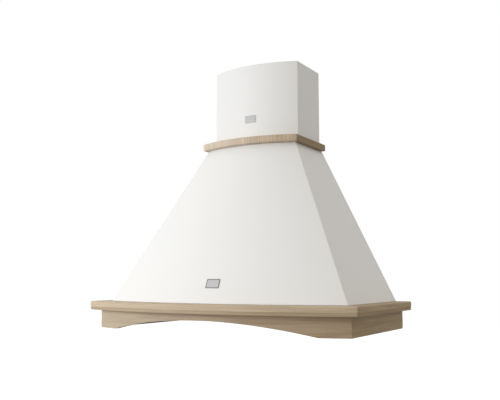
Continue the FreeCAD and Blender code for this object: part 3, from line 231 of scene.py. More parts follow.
@dataclass(frozen=True)
class Enamel:
    """Satin enamel on sheet metal, with a faint orange peel.

    Attributes:
        name: The material's name.
        colour: The paint's colour.
        roughness: How matt the paint is.
        peel: Height of the orange peel, in metres.
        clouds: Clouds in a metre of paint.
        grains: Grains of the peel in a metre.
        cloud_shade: Share of the colour that is left in the darkest paint.
        cloud_share: How near to that a full cloud comes.
        swing: How far the roughness strays to either side.
        specular: Strength of the plain reflection.
    """

    name: str
    colour: Colour
    roughness: float = 0.5
    peel: float = 0.00002
    clouds: float = 9.0
    grains: float = 420.0
    cloud_shade: float = 0.97
    cloud_share: float = 0.5
    swing: float = 0.05
    specular: float = 0.3

    def build(self) -> bpy.types.Material:
        """Cloudy gloss, and a fine peel in the normal.

        Returns:
            The finished material.
        """
        graph = Graph.of_material(self.name)
        place = graph.place()
        cloud = graph.noise(place, self.clouds, detail=3.0)
        peel = graph.noise(place, self.grains)
        shade = rgba(self.colour, self.cloud_shade)
        return graph.principled({
            "Base Color": graph.mix(cloud * self.cloud_share, rgba(self.colour), shade),
            "Roughness": self.roughness - self.swing + cloud * (2.0 * self.swing),
            "Normal": graph.bump(peel, self.peel),
            "Specular IOR Level": self.specular,
        })


class Grain(Enum):
    """Which way the fibres run on a board."""

    ALONG = "along"
    UPRIGHT = "upright"


@dataclass(frozen=True)
class LimedWood:
    """Pale limed wood, read from the mesh attribute "plank": along, up and inwards, in metres.

    Attributes:
        name: The material's name.
        light: The colour of the broad early wood.
        dark: The colour of the darker bands.
        pore: The colour in the pores.
        lime: The colour of the lime rubbed into the surface.
        lime_and_painted_light_near: Share of lime where the board's own length is zero.
        lime_and_painted_light_far: Share of lime where its length is reach; the change between
            the two shares along the board is painted light.
        reach: The length over which the lime and its painted light change, in metres.
        darker_below: Level under which the colour is darker, in metres.
        painted_shade_beyond: How far behind the outer face the inner and cut faces begin, in
        metres; their darker colour is painted shade.
        grain: Which way the fibres run.
        seed: Moves the pattern so that no two boards are alike.
        roughness: How matt the wood is.
        mapped: Whether the piece has the attribute; otherwise its own coordinates are read.

    WANDER, STREAKS, FINE and PORES say how often these patterns repeat in a metre, along the
    fibres and across them. RINGS does so for the bands, and DRIFT is how far the wander shifts
    them. TONE holds the shares of bands, streaks and fine fibres, SPAN the tones that are wholly
    light and wholly dark, and PORED the noise between which a pore opens. STAIN and
    PAINTED_SHADE are what the two darker zones keep of the colour: the zone below darker_below,
    and the inner and cut faces, whose darkening is painted shade. LOWER_TONE_EDGE and
    PAINTED_SHADE_EDGE are how soft their borders are, in metres. PORE_SHARE and LOWER_TONE_SHARE
    are how strongly pores and the darker lower zone show, and UPRIGHT_SQUEEZE slows the pattern
    down into a board whose fibres stand upright. RELIEF holds the shares of streaks and pores in
    the bump, which is RELIEF_DEPTH high, in metres, at RELIEF_STRENGTH. SWING is how far the
    roughness strays to either side, and SPECULAR the strength of the plain reflection.
    """

    WANDER: ClassVar[Triple] = (2.2, 9.0, 9.0)
    STREAKS: ClassVar[Triple] = (6.0, 340.0, 340.0)
    FINE: ClassVar[Triple] = (26.0, 1100.0, 1100.0)
    PORES: ClassVar[Triple] = (70.0, 1500.0, 1500.0)
    RINGS: ClassVar[Pair] = (0.9, 60.0)
    DRIFT: ClassVar[Pair] = (6.0, 4.0)
    TONE: ClassVar[Triple] = (0.32, 0.52, 0.16)
    SPAN: ClassVar[Pair] = (0.34, 0.66)
    PORED: ClassVar[Pair] = (0.6, 0.72)
    PORE_SHARE: ClassVar[float] = 0.3
    STAIN: ClassVar[Colour] = (0.74, 0.71, 0.67)
    LOWER_TONE_SHARE: ClassVar[float] = 0.8
    LOWER_TONE_EDGE: ClassVar[Pair] = (0.001, 0.0005)
    PAINTED_SHADE: ClassVar[Colour] = (0.42, 0.37, 0.30)
    PAINTED_SHADE_EDGE: ClassVar[float] = 0.0006
    UPRIGHT_SQUEEZE: ClassVar[float] = 0.12
    RELIEF: ClassVar[Pair] = (0.6, 0.4)
    RELIEF_DEPTH: ClassVar[float] = 0.00004
    RELIEF_STRENGTH: ClassVar[float] = 0.6
    SWING: ClassVar[float] = 0.06
    SPECULAR: ClassVar[float] = 0.12

    name: str
    light: Colour = (0.56, 0.435, 0.29)
    dark: Colour = (0.38, 0.275, 0.165)
    pore: Colour = (0.27, 0.19, 0.115)
    lime: Colour = (0.90, 0.83, 0.69)
    lime_and_painted_light_near: float = 0.0
    lime_and_painted_light_far: float = 0.0
    reach: float = 1.0
    darker_below: Optional[float] = None
    painted_shade_beyond: Optional[float] = None
    grain: Grain = Grain.ALONG
    seed: float = 0.0
    roughness: float = 0.55
    mapped: bool = True

    def build(self) -> bpy.types.Material:
        """Wandering bands, fine fibres and short pores, all long in the grain.

        Returns:
            The finished material.
        """
        graph = Graph.of_material(self.name)
        plank = graph.attribute("plank") if self.mapped else graph.place()
        along, up, inward = (graph.part_of(plank, axis) for axis in range(3))
        # The share of lime changes along the board from the near share to the far one: painted
        # light, with more lime towards the far end.
        painted_light_gain = self.lime_and_painted_light_far - self.lime_and_painted_light_near
        limed = graph.window(along, 0.0, self.reach) * painted_light_gain + self.lime_and_painted_light_near
        # The board's cut and inner faces, beyond the given depth behind its outer face, get painted
        # shade.
        painted_shade = None
        if self.painted_shade_beyond is not None:
            painted_shade = graph.window(inward, self.painted_shade_beyond, self.painted_shade_beyond + self.PAINTED_SHADE_EDGE)
        if self.grain is Grain.UPRIGHT:
            along, up, inward = up, along, inward * self.UPRIGHT_SQUEEZE
        tone, pores, streaks = self.figure(graph, along, up, inward)
        colour = graph.mix(tone, rgba(self.light), rgba(self.dark))
        colour = graph.mix(pores * self.PORE_SHARE, colour, rgba(self.pore))
        colour = graph.mix(limed, colour, rgba(self.lime))
        # Below the given level the colour is darker.
        if self.darker_below is not None:
            below, above = self.LOWER_TONE_EDGE
            level = graph.part_of(graph.place(), 2)
            full_tone = graph.window(level, self.darker_below - below, self.darker_below + above)
            stain = (1.0 - full_tone) * self.LOWER_TONE_SHARE
            colour = graph.mix(stain, colour, rgba(self.STAIN), "MULTIPLY")
        # Painted shade on the cut and inner faces.
        if painted_shade is not None:
            colour = graph.mix(painted_shade, colour, rgba(self.PAINTED_SHADE), "MULTIPLY")
        ridges, holes = self.RELIEF
        relief = streaks * ridges + (1.0 - pores) * holes
        return graph.principled({
            "Base Color": colour,
            "Roughness": self.roughness + streaks * (2.0 * self.SWING) - self.SWING,
            "Normal": graph.bump(relief, self.RELIEF_DEPTH, self.RELIEF_STRENGTH),
            "Specular IOR Level": self.SPECULAR,
        })

    def figure(self, graph: Graph, along: Signal, up: Signal,
               inward: Signal) -> tuple[Signal, Signal, Signal]:
        """The wood's figure: bands shifted by a slow wander, over streaks, fine fibres and pores.

        Args:
            graph: The material's graph.
            along: The place along the fibres.
            up: The place across them, on the face.
            inward: The place across them, into the board.

        Returns:
            The tone from light to dark, the pores and the streaks.
        """
        fibre = graph.joined(along + self.seed, up, inward)
        wander = graph.noise(graph.stretched(fibre, self.WANDER), 1.0)
        lengthwise, across = self.RINGS
        shift_up, shift_in = self.DRIFT
        ringed = graph.joined(along * lengthwise + self.seed, up * across + wander * shift_up,
                              inward * across + wander * shift_in)
        bands = graph.noise(ringed, 1.0, detail=3.0, distortion=0.3)
        streaks = graph.noise(graph.stretched(fibre, self.STREAKS), 1.0)
        fine = graph.noise(graph.stretched(fibre, self.FINE), 1.0)
        spots = graph.noise(graph.stretched(fibre, self.PORES), 1.0, detail=1.0)
        banded, streaked, fibrous = self.TONE
        tone = graph.window(bands * banded + streaks * streaked + fine * fibrous, *self.SPAN)
        return tone, graph.window(spots, *self.PORED), streaks


@dataclass(frozen=True)
class Metal:
    """Bare or plated metal with brush marks or spangle.

    Attributes:
        name: The material's name.
        colour: The metal's colour.
        roughness: How matt the metal is.
        brush: Scale of the brush marks along X, Y and Z, in marks per metre.
        depth: Height of the marks, in metres.
        spangle: Share of cloudy zinc flowers in the colour.
        flowers: Zinc flowers in a metre.
        flower_shade: Share of the colour that is left in a full flower.
        swing: How far the roughness strays to either side.
    """

    name: str
    colour: Colour
    roughness: float = 0.35
    brush: Triple = (30.0, 900.0, 900.0)
    depth: float = 0.00001
    spangle: float = 0.0
    flowers: float = 110.0
    flower_shade: float = 0.72
    swing: float = 0.07

    def build(self) -> bpy.types.Material:
        """Marks in the gloss and the normal, and zinc flowers where asked.

        Returns:
            The finished material.
        """
        graph = Graph.of_material(self.name)
        place = graph.place()
        marks = graph.noise(graph.stretched(place, self.brush), 1.0)
        tint: Any = rgba(self.colour)
        if self.spangle > 0.0:
            inputs = {"Vector": place, "Scale": self.flowers}
            cells = graph.signal("ShaderNodeTexVoronoi", inputs, "Color", feature="F1")
            flower = graph.part_of(cells, 0)
            tint = graph.mix(flower * self.spangle, tint, rgba(self.colour, self.flower_shade))
        return graph.principled({
            "Base Color": tint,
            "Metallic": 1.0,
            "Roughness": self.roughness - self.swing + marks * (2.0 * self.swing),
            "Normal": graph.bump(marks, self.depth),
        })


@dataclass(frozen=True)
class Plastic:
    """Moulded plastic with a fine grain.

    Attributes:
        name: The material's name.
        colour: The plastic's colour.
        roughness: How matt the surface is.
        depth: Height of the moulded grain, in metres.
        clouds: Clouds in a metre of plastic.
        grains: Grains of the moulded surface in a metre.
        cloud_shade: Share of the colour that is left between the clouds.
        swing: How far the roughness strays to either side.
    """

    name: str
    colour: Colour
    roughness: float = 0.45
    depth: float = 0.00002
    clouds: float = 30.0
    grains: float = 1400.0
    cloud_shade: float = 0.9
    swing: float = 0.05

    def build(self) -> bpy.types.Material:
        """Faint clouds in the colour, and the grain in the normal.

        Returns:
            The finished material.
        """
        graph = Graph.of_material(self.name)
        place = graph.place()
        cloud = graph.noise(place, self.clouds)
        texture = graph.noise(place, self.grains, detail=1.0)
        return graph.principled({
            "Base Color": graph.mix(cloud, rgba(self.colour, self.cloud_shade), rgba(self.colour)),
            "Roughness": self.roughness + cloud * (2.0 * self.swing) - self.swing,
            "Normal": graph.bump(texture, self.depth),
        })


@dataclass(frozen=True)
class FrostedGlass:
    """The lamps' frosted glass.

    Attributes:
        name: The material's name.
        colour: The glass's colour.
        roughness: How matt its smoothest places are.
        frost: How much more matt its roughest places are.
        grains: Grains of the frost in a metre.
        grain_shade: Share of the colour that is left in a full grain.
        depth: Height of the frost, in metres.
        clearness: Share of the light that goes through.
        bending: The glass's index of refraction.
    """

    name: str
    colour: Colour = (0.92, 0.93, 0.92)
    roughness: float = 0.32
    frost: float = 0.1
    grains: float = 900.0
    grain_shade: float = 0.93
    depth: float = 0.00004
    clearness: float = 0.45
    bending: float = 1.5

    def build(self) -> bpy.types.Material:
        """Part white scatter, part rough transmission, with a fine speckle.

        Returns:
            The finished material.
        """
        graph = Graph.of_material(self.name)
        speckle = graph.noise(graph.place(), self.grains)
        grained = rgba(self.colour, self.grain_shade)
        return graph.principled({
            "Base Color": graph.mix(speckle, rgba(self.colour), grained),
            "Roughness": self.roughness + speckle * self.frost,
            "Transmission Weight": self.clearness,
            "IOR": self.bending,
            "Normal": graph.bump(speckle, self.depth),
        })


# Meshes from grids of points


def grid_faces(rows: int, columns: int, closed: bool = False) -> Array:
    """Quads of a grid of points, whose normals are (row direction) x (column direction).

    Args:
        rows: Number of rows of points.
        columns: Number of points in a row.
        closed: Whether the last row joins the first.

    Returns:
        An array of four vertex numbers a face.
    """
    row = np.arange(rows if closed else rows - 1)[:, None]
    above = (row + 1) % rows
    column = np.arange(columns - 1)[None, :]
    corners = (row * columns + column, above * columns + column,
               above * columns + column + 1, row * columns + column + 1)
    return np.stack(corners, axis=-1).reshape(-1, 4)


def put(name: str, data: Any) -> bpy.types.Object:
    """Put an object into the scene.

    Args:
        name: The object's name.
        data: Its mesh, light or camera.

    Returns:
        The new object.
    """
    made = bpy.data.objects.new(name, data)
    bpy.context.scene.collection.objects.link(made)
    return made


@dataclass
class Piece:
    """One finished piece, ready to be put into the scene.

    Attributes:
        name: The piece's name.
        points: Vertices in metres, one row each.
        faces: Lists of vertex numbers.
        material: Its finish.
        body: The CAD body that it rides on.
        slot: The record's material slot; not used.
        stands_for: CAD nodes that it replaces.
        plank: Board coordinates of each vertex, where the finish is wood.
        sharp: Angle between faces above which an edge stays sharp, in degrees.
        thickness: Sheet thickness added inwards, in metres.
    """

    name: str
    points: Array
    faces: list[list[int]]
    material: bpy.types.Material
    body: Body
    slot: str
    stands_for: Sequence[str] = ()
    plank: Optional[Array] = None
    sharp: float = 35.0
    thickness: float = 0.0

    def add(self) -> None:
        """Put the piece into the scene and let it ride on its body."""
        mesh = bpy.data.meshes.new(self.name)
        mesh.from_pydata(self.points.tolist(), [], self.faces)
        mesh.update()
        if self.plank is not None:
            layer = mesh.attributes.new("plank", "FLOAT_VECTOR", "POINT")
            layer.data.foreach_set("vector", self.plank.astype(np.float32).ravel())
        mesh.materials.append(self.material)
        mesh.shade_smooth()
        mesh.set_sharp_from_angle(angle=math.radians(self.sharp))
        made = put(self.name, mesh)
        if self.thickness > 0.0:
            wall = made.modifiers.new("wall", "SOLIDIFY")
            wall.thickness = self.thickness
            wall.offset = -1.0
            wall.use_even_offset = True
        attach(made, self.body.value)
        if self.stands_for:
            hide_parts(*self.stands_for)
        LOG.info("%s: %d points, %d faces", self.name, len(mesh.vertices), len(mesh.polygons))


def spread(limits: Sequence[float], counts: Sequence[int]) -> Array:
    """Values that run through the limits, with counts[i] steps between limits i and i + 1."""
    runs = [np.linspace(a, b, n, endpoint=False) for a, b, n in zip(limits, limits[1:], counts)]
    return np.concatenate([*runs, [limits[-1]]])


def lengths(path: Array) -> Array:
    """Running length along a path of points."""
    steps = np.linalg.norm(np.diff(path, axis=0), axis=1)
    return np.concatenate([[0.0], np.cumsum(steps)])


def quarter(steps: int) -> tuple[Array, Array]:
    """A quarter turn of radius one, from flat to upright: insets 1 - sin and rises 1 - cos."""
    turn = np.linspace(0.0, math.pi / 2, steps)
    return 1.0 - np.sin(turn), 1.0 - np.cos(turn)


def compass(angle: Array) -> Array:
    """Unit vectors (cos, sin) at angles turned from X towards Y."""
    return np.stack([np.cos(angle), np.sin(angle)], axis=-1)


# Turns left and right about; shares along the front arc and along a sheet's side; points in a fold.
MIRRORED = (-1.0, 1.0)
FRONT_SHARES = spread((1.0, 0.99, -0.99, -1.0), (2, 96, 2))
SHEET_SHARES = spread((0.02, 0.97, 1.0), (9, 2))
FOLD_POINTS = 4


@dataclass(frozen=True)
class BowedPlan:
    """A plan with straight sides and a front arc about an upright axis behind the wall, in metres.

    Attributes:
        half: Half the width.
        bow: Radius of the front arc.
        back: How far behind the wall the arc's axis stands.
        corner: Radius of the two front corners.
        rear: Where the sides end, as a Y.

    TIGHTEST is the radius that a corner keeps however far the plan is drawn in.
    """

    TIGHTEST: ClassVar[float] = 0.0002

    half: float
    bow: float
    back: float
    corner: float
    rear: float = 0.0

    def inset(self, by: float) -> "BowedPlan":
        """The same plan drawn in on its sides and front, with its corners tightened."""
        corner = max(self.corner - by, self.TIGHTEST)
        return replace(self, half=self.half - by, bow=self.bow - by, corner=corner)

    def lipped(self, by: float) -> "BowedPlan":
        """The same plan drawn in all round, as the edge of a lip that is turned in."""
        return replace(self.inset(by), rear=self.rear - by)

    def corner_centre(self) -> Pair:
        """Centre of the right front corner's rounding: inset from the side and from the arc."""
        across, reach = self.half - self.corner, self.bow - self.corner
        return across, self.back - math.sqrt(reach * reach - across * across)

    def corner_turn(self) -> float:
        """Angle of the rounding, from facing sideways to facing along the arc's radius."""
        across, _ = self.corner_centre()
        return math.pi / 2 - math.asin(across / (self.bow - self.corner))

    def side(self, shares: Array) -> Array:
        """Points on the right side, from share 0 at the rear to 1 where the rounding starts."""
        along = self.rear + (self.corner_centre()[1] - self.rear) * shares
        return np.stack([np.full_like(shares, self.half), along], axis=-1)

    def rounding(self, shares: Array) -> Array:
        """Points on the right front corner: centre + radius (cos, -sin) of a share of the turn."""
        return self.corner_centre() + self.corner * compass(-shares * self.corner_turn())

    def front(self, shares: Array) -> Array:
        """Points on the arc by share of its angle, from 1 at the right corner to -1 at the left."""
        angle = shares * (math.pi / 2 - self.corner_turn())
        return np.stack([self.bow * np.sin(angle), self.back - self.bow * np.cos(angle)], axis=-1)

    def heel(self, lip_end: float, fold: float) -> Array:
        """A sheet's lip across the back and the fold from it into the right side.

        Args:
            lip_end: How far from the middle the lip ends.
            fold: Radius of the fold, which is a quarter turn.

        Returns:
            The lip's two ends and the points of the fold.
        """
        turn = compass(np.linspace(math.pi / 2, 0.0, FOLD_POINTS))
        bend = (self.half - fold, self.rear - fold) + fold * turn
        start = self.half - 2.0 * fold
        return np.concatenate([[[min(lip_end, start - fold), self.rear], [start, self.rear]], bend])

    def sheet(self, lip_end: float, fold: float) -> Array:
        """A sheet's path: back lip, fold, side, corner and arc, then the same mirrored.

        Args:
            lip_end: How far from the middle the lips across the back end.
            fold: Radius of the folds.

        Returns:
            The points from one lip's end to the other's.
        """
        side = self.side(SHEET_SHARES)
        corner = self.rounding(np.linspace(0.0, 1.0, 5))
        half = np.concatenate([self.heel(lip_end, fold), side[:-1], corner[:-1]])
        return np.concatenate([half, self.front(FRONT_SHARES), half[::-1] * MIRRORED])


# Wooden boards


@dataclass(frozen=True)
class Section:
    """A board's outer face: a flat between two quarter ellipses.

    Attributes:
        low: The board's lower face, as a level in metres.
        high: Its upper face.
        low_ease: Depth and height of the lower rounding.
        high_ease: Depth and height of the upper rounding.
        quirk: Depth of the step above the lower rounding, zero for none.
        margin: How far beyond a rounding the next points stand.
        steps: Points in a rounding.
    """

    low: float
    high: float
    low_ease: Pair
    high_ease: Pair
    quirk: float = 0.0
    margin: float = 0.0008
    steps: int = 6

    def outer(self) -> Array:
        """The outer face as a line from the lower face to the upper one.

        Returns:
            Inset and level of each point.
        """
        inset, rise = quarter(self.steps)
        (low_deep, low_tall), (high_deep, high_tall) = self.low_ease, self.high_ease
        lower = np.stack([inset * low_deep + self.quirk, self.low + rise * low_tall], axis=-1)
        upper = np.stack([inset[::-1] * high_deep, self.high - rise[::-1] * high_tall], axis=-1)
        margin = self.margin
        flat = [[0.0, self.low + low_tall + margin], [0.0, self.high - high_tall - margin]]
        if self.quirk:
            flat.insert(0, [0.0, self.low + low_tall + margin / 4])
        foot = [[low_deep + self.quirk + margin, self.low]]
        head = [[high_deep + margin, self.high]]
        return np.concatenate([foot, lower, flat, upper, head])


@dataclass
class MitredFrame:
    """Three boards round a bowed plan: a front and two sides that meet in mitres.

    Attributes:
        name: What the boards are called.
        outer: The plan of the outer faces.
        inner: The plan of the inner faces.
        section: The boards' section.
        front_wood: The front board's finish.
        side_wood: The side boards' finish.
        side_seeds: What moves the pattern of the right and of the left side board.
        side_shares: Shares along a side board.
        slot: The record's material slot.

    MITRE holds the shares of the corner's rounding that a side board has.
    """

    MITRE: ClassVar[Array] = np.linspace(0.0, 0.5, 5)

    name: str
    outer: BowedPlan
    inner: BowedPlan
    section: Section
    front_wood: LimedWood
    side_wood: LimedWood
    side_seeds: Pair
    side_shares: tuple[float, ...] = tuple(spread((0.0, 0.98, 1.0), (10, 2)))
    slot: str = "limed_wood"

    def lift(self, paths: Array) -> Array:
        """How far the lower edge rises at each point; plain boards have none."""
        return np.zeros(paths.shape[:-1])

    def right_path(self, plan: BowedPlan) -> Array:
        """The stretch of a plan under the right side board, with the mitre as its last point."""
        side = plan.side(np.array(self.side_shares))
        return np.concatenate([side[:-1], plan.rounding(self.MITRE)])

    def arc_path(self, plan: BowedPlan) -> Array:
        """The front arc between the two corners."""
        return plan.front(FRONT_SHARES)

    def front_path(self, plan: BowedPlan) -> Array:
        """The stretch of a plan under the front board, from one mitre to the other."""
        right = plan.rounding(1.0 - self.MITRE[::-1])
        return np.concatenate([right[:-1], self.arc_path(plan), right[-2::-1] * MIRRORED])

    def rings(self, path_of: Callable[[BowedPlan], Array]) -> tuple[Array, Array]:
        """Sweep the section: each of its points follows its own inset plan.

        Args:
            path_of: Gives the stretch of a plan that the board covers.

        Returns:
            Points by section point and station, and their board coordinates.
        """
        profile = self.section.outer()
        plans = [self.outer.inset(inset) for inset in profile[:, 0]] + [self.inner, self.inner]
        level = np.concatenate([profile[:, 1], [self.section.high, self.section.low]])
        paths = np.stack([path_of(plan) for plan in plans])
        lower = level < (self.section.low + self.section.high) / 2
        height = level[:, None] + lower[:, None] * self.lift(paths)
        middle = paths[len(profile) // 2]
        inward = np.linalg.norm(paths - middle, axis=2)
        along = np.broadcast_to(lengths(middle), inward.shape)
        plank = np.stack([along, height, inward], axis=-1)
        return np.concatenate([paths, height[..., None]], axis=2), plank

    def board(self, word: str, rings: Array, plank: Array, wood: LimedWood) -> None:
        """Close a swept board with its two end faces and add it.

        Args:
            word: Which board it is.
            rings: Points by section point and station.
            plank: Board coordinates of the same points.
            wood: The board's finish.
        """
        around, stations = rings.shape[:2]
        first = np.arange(around) * stations
        faces = grid_faces(around, stations, closed=True).tolist()
        faces += [first[::-1].tolist(), (first + stations - 1).tolist()]
        node = f"{self.name}_{word}"
        finish = replace(wood, name=f"{self.name}_wood_{word}").build()
        Piece(f"{node}_board", rings.reshape(-1, 3), faces, finish, Body.HOOD, self.slot, (node,),
              plank.reshape(-1, 3), sharp=40.0).add()

    def build(self) -> None:
        """Add the three boards; the left one is the right one mirrored and run backwards."""
        self.board("front", *self.rings(self.front_path), self.front_wood)
        rings, plank = self.rings(self.right_path)
        right, left = (replace(self.side_wood, seed=seed) for seed in self.side_seeds)
        self.board("right", rings, plank, right)
        self.board("left", rings[:, ::-1] * (*MIRRORED, 1.0), plank[:, ::-1], left)


@dataclass
class ArchedFrame(MitredFrame):
    """A mitred frame whose front is arched below and whose sides have a rounded rear heel.

    Attributes:
        arch_half: Half the arch's span.
        arch_rise: The arch's height.
        heel: Radius of the rear lower corners.
    """

    arch_half: float = 0.34
    arch_rise: float = 0.0365
    heel: float = 0.006

    def lift(self, paths: Array) -> Array:
        """An arc of a circle over the span, and a quarter turn at the rear end.

        Args:
            paths: Points in plan.

        Returns:
            How far the lower edge rises at each point.
        """
        radius = (self.arch_half**2 + self.arch_rise**2) / (2.0 * self.arch_rise)
        across = np.minimum(np.abs(paths[..., 0]), self.arch_half)
        arch = np.sqrt(radius**2 - across**2) - (radius - self.arch_rise)
        ahead = np.minimum(-paths[..., 1], self.heel)
        return arch + self.heel - np.sqrt(self.heel**2 - (self.heel - ahead) ** 2)

    def arc_path(self, plan: BowedPlan) -> Array:
        """The front arc at places that all its curves share, so that the arch ends cleanly.

        Args:
            plan: One of the section's plans.

        Returns:
            Points from the right corner to the left one.
        """
        end = plan.front(np.array([1.0]))[0, 0]
        across = spread((end, self.arch_half, -self.arch_half, -end), (6, 96, 6))
        return np.stack([across, plan.back - np.sqrt(plan.bow**2 - across**2)], axis=-1)


# Painted sheet metal


@dataclass
class BowedSkin:
    """A folded sheet between a lower and an upper bowed plan.

    Attributes:
        name: The piece's name.
        node: The CAD node that it stands for.
        foot: The plan at the lower edge.
        top: The plan at the upper edge.
        low: The lower edge's level in metres.
        high: The upper edge's level.
        wall: The sheet's thickness.
        finish: The paint.
        body: The CAD body that it rides on.
        fold: Radius of the folds along lips.
        rear_lip: Width of the lips across the back.
        foot_lip: Width of the lip at the lower edge.
        top_lip: Width of the lip at the upper edge.
        slot: The record's material slot.

    COURSES is the number of even levels, both edges counted. The first level beyond a fold
    stands off the edge by CLEAR times the fold's radius.
    """

    COURSES: ClassVar[int] = 40
    CLEAR: ClassVar[float] = 2.5

    name: str
    node: str
    foot: BowedPlan
    top: BowedPlan
    low: float
    high: float
    wall: float
    finish: bpy.types.Material
    body: Body = Body.HOOD
    fold: float = 0.0008
    rear_lip: float = 0.015
    foot_lip: float = 0.0
    top_lip: float = 0.0
    slot: str = "white_enamel"

    def rows(self) -> tuple[Array, Array]:
        """The sheet's levels: a lip and a fold at each end that has one, and the wall between.

        Returns:
            Height above the lower edge and inset of each row of points.
        """
        inset, rise = quarter(FOLD_POINTS)
        tall, clear = self.high - self.low, self.CLEAR * self.fold
        bend = np.stack([rise * self.fold, inset * self.fold], axis=-1)
        foot, head = ([[0.0, lip], [0.0, clear], *bend] if lip else [[0.0, 0.0]]
                      for lip in (self.foot_lip, self.top_lip))
        even = np.linspace(0.0, tall, self.COURSES)[1:-1]
        middle = np.concatenate([[clear], even, [tall - clear]])
        upper = np.array(head)[::-1] * MIRRORED + (tall, 0.0)
        both = np.concatenate([foot, np.stack([middle, np.zeros_like(middle)], axis=-1), upper])
        return both[:, 0], both[:, 1]

    @staticmethod
    def blended(lower: Array, upper: Array, share: Union[float, Array]) -> Array:
        """Points at a share of the height between two curves that correspond."""
        return lower * (1.0 - share) + upper * share

    def build(self) -> None:
        """Add the sheet: each row is blended from the two plans at its share of the height."""
        tall = self.high - self.low
        rows = []
        for height, inset in zip(*self.rows()):
            ends = [plan.lipped(inset).sheet(plan.half - self.rear_lip, self.fold)
                    for plan in (self.foot, self.top)]
            path = self.blended(*ends, height / tall)
            rows.append(np.column_stack([path, np.full(len(path), self.low + height)]))
        faces = grid_faces(len(rows), len(rows[0])).tolist()
        Piece(self.name, np.concatenate(rows), faces, self.finish, self.body, self.slot,
              (self.node,), sharp=60.0, thickness=self.wall).add()

    def at(self, turn: Array, share: Array) -> Array:
        """Places on the front.

        Args:
            turn: Share of the arcs' angle.
            share: Share of the height.

        Returns:
            Points blended from the two arcs.
        """
        path = self.blended(self.foot.front(turn), self.top.front(turn), share[..., None])
        level = self.low + (self.high - self.low) * share
        return np.concatenate([path, level[..., None]], axis=-1)


@dataclass
class Plate:
    """A small bare plate with a raised rim, bent to the wall that carries it.

    Attributes:
        name: The plate's name.
        skin: The wall.
        turn: Share of the wall's front angle at the plate's centre.
        share: Share of the wall's height at the plate's centre.
        wide: Width in metres.
        tall: Height in metres.
        rim_finish: The rim's finish.
        field_finish: The field's finish.
        rim: Width of the rim.
        raised: How far the rim stands off the wall.
        corner: Radius of the corners.
        ease: Width of the bevels, and the tightest radius of a corner.
        floor_gap: How far inside the rim its floor starts.

    LEVELS are shares of the rim's height: the feet of its outer and its inner bevel, its floor,
    the field's edge and the field. RINGS is the number of loops that fill a flat.
    """

    LEVELS: ClassVar[tuple[float, ...]] = (0.6, 0.7, 0.5, 0.52, 0.62)
    RINGS: ClassVar[int] = 6

    name: str
    skin: BowedSkin
    turn: float
    share: float
    wide: float
    tall: float
    rim_finish: bpy.types.Material
    field_finish: bpy.types.Material
    rim: float = 0.002
    raised: float = 0.0012
    corner: float = 0.003
    ease: float = 0.0003
    floor_gap: float = 0.0004

    def outline(self, inset: float) -> Array:
        """A rounded rectangle: four quarter turns about its corners' centres.

        Args:
            inset: How far it is drawn in.

        Returns:
            Places across and up from the plate's centre.
        """
        radius = max(self.corner - inset, self.ease)
        points, quarters = 6, math.pi / 2 * np.arange(4)
        turn = np.concatenate([np.linspace(0.0, math.pi / 2, points) + start for start in quarters])
        middle = math.pi / 4 + np.repeat(quarters, points)
        reach = np.array([self.wide, self.tall]) / 2 - inset - radius
        return np.sign(compass(middle)) * reach + radius * compass(turn)

    def placed(self, flat: Array, off: float) -> Array:
        """Places turned into shares of the wall, then moved along its normal.

        Args:
            flat: Places across and up from the plate's centre.
            off: How far off the wall they are.

        Returns:
            Points in space.
        """
        step, at = 1e-4, self.skin.at
        turn, share = np.array([self.turn]), np.array([self.share])
        wide = np.linalg.norm(at(turn + step, share) - at(turn, share)) / step
        tall = np.linalg.norm(at(turn, share + step) - at(turn, share)) / step
        turn = self.turn + flat[..., 0] / wide
        share = self.share + flat[..., 1] / tall
        here = at(turn, share)
        normal = np.cross(at(turn + step, share) - here, at(turn, share + step) - here)
        normal /= np.linalg.norm(normal, axis=-1, keepdims=True)
        return here + normal * off

    def loops(self, word: str, profile: Sequence[Pair], finish: bpy.types.Material) -> None:
        """Carry a profile round the outline, close both its ends and add it.

        Args:
            word: Which part of the plate it is.
            profile: Inset and height off the wall of each loop.
            finish: Its finish.
        """
        rows = [self.placed(self.outline(inset), off) for inset, off in profile]
        count = len(rows[0])
        rows = [np.concatenate([row, row[:1]]) for row in rows]
        faces = grid_faces(len(rows), count + 1)
        owner = np.arange(len(rows) * (count + 1)).reshape(-1, count + 1)
        keep = owner[:, :-1].ravel()
        number = np.zeros(owner.size, int)
        number[keep] = np.arange(keep.size)
        number[owner[:, -1]] = number[owner[:, 0]]
        joined = number[faces][:, ::-1].tolist()
        joined += [list(range(keep.size - count, keep.size)), list(range(count))[::-1]]
        points = np.concatenate(rows)[keep]
        Piece(f"{self.name}_{word}", points, joined, finish, Body.HOOD, "lamp_trim",
              sharp=40.0).add()

    def build(self) -> None:
        """Add the rim with its floor, and the field on it."""
        rim, raised, ease = self.rim, self.raised, self.ease
        outer_foot, inner_foot, floor, edge, field = self.LEVELS
        deepest = min(self.wide, self.tall) / 2 - 2.0 * ease
        profile = [(0.0, 0.0), (0.0, raised * outer_foot), (ease, raised), (rim - ease, raised),
                   (rim, raised * inner_foot)]
        floor_insets = np.linspace(rim + self.floor_gap, deepest, self.RINGS)
        profile += [(inset, raised * floor) for inset in floor_insets]
        self.loops("rim", profile, self.rim_finish)
        field_insets = np.linspace(rim + 2.0 * ease, deepest, self.RINGS)
        profile = [(rim + ease, raised * edge)]
        profile += [(inset, raised * field) for inset in field_insets]
        self.loops("field", profile, self.field_finish)


# Grease filters


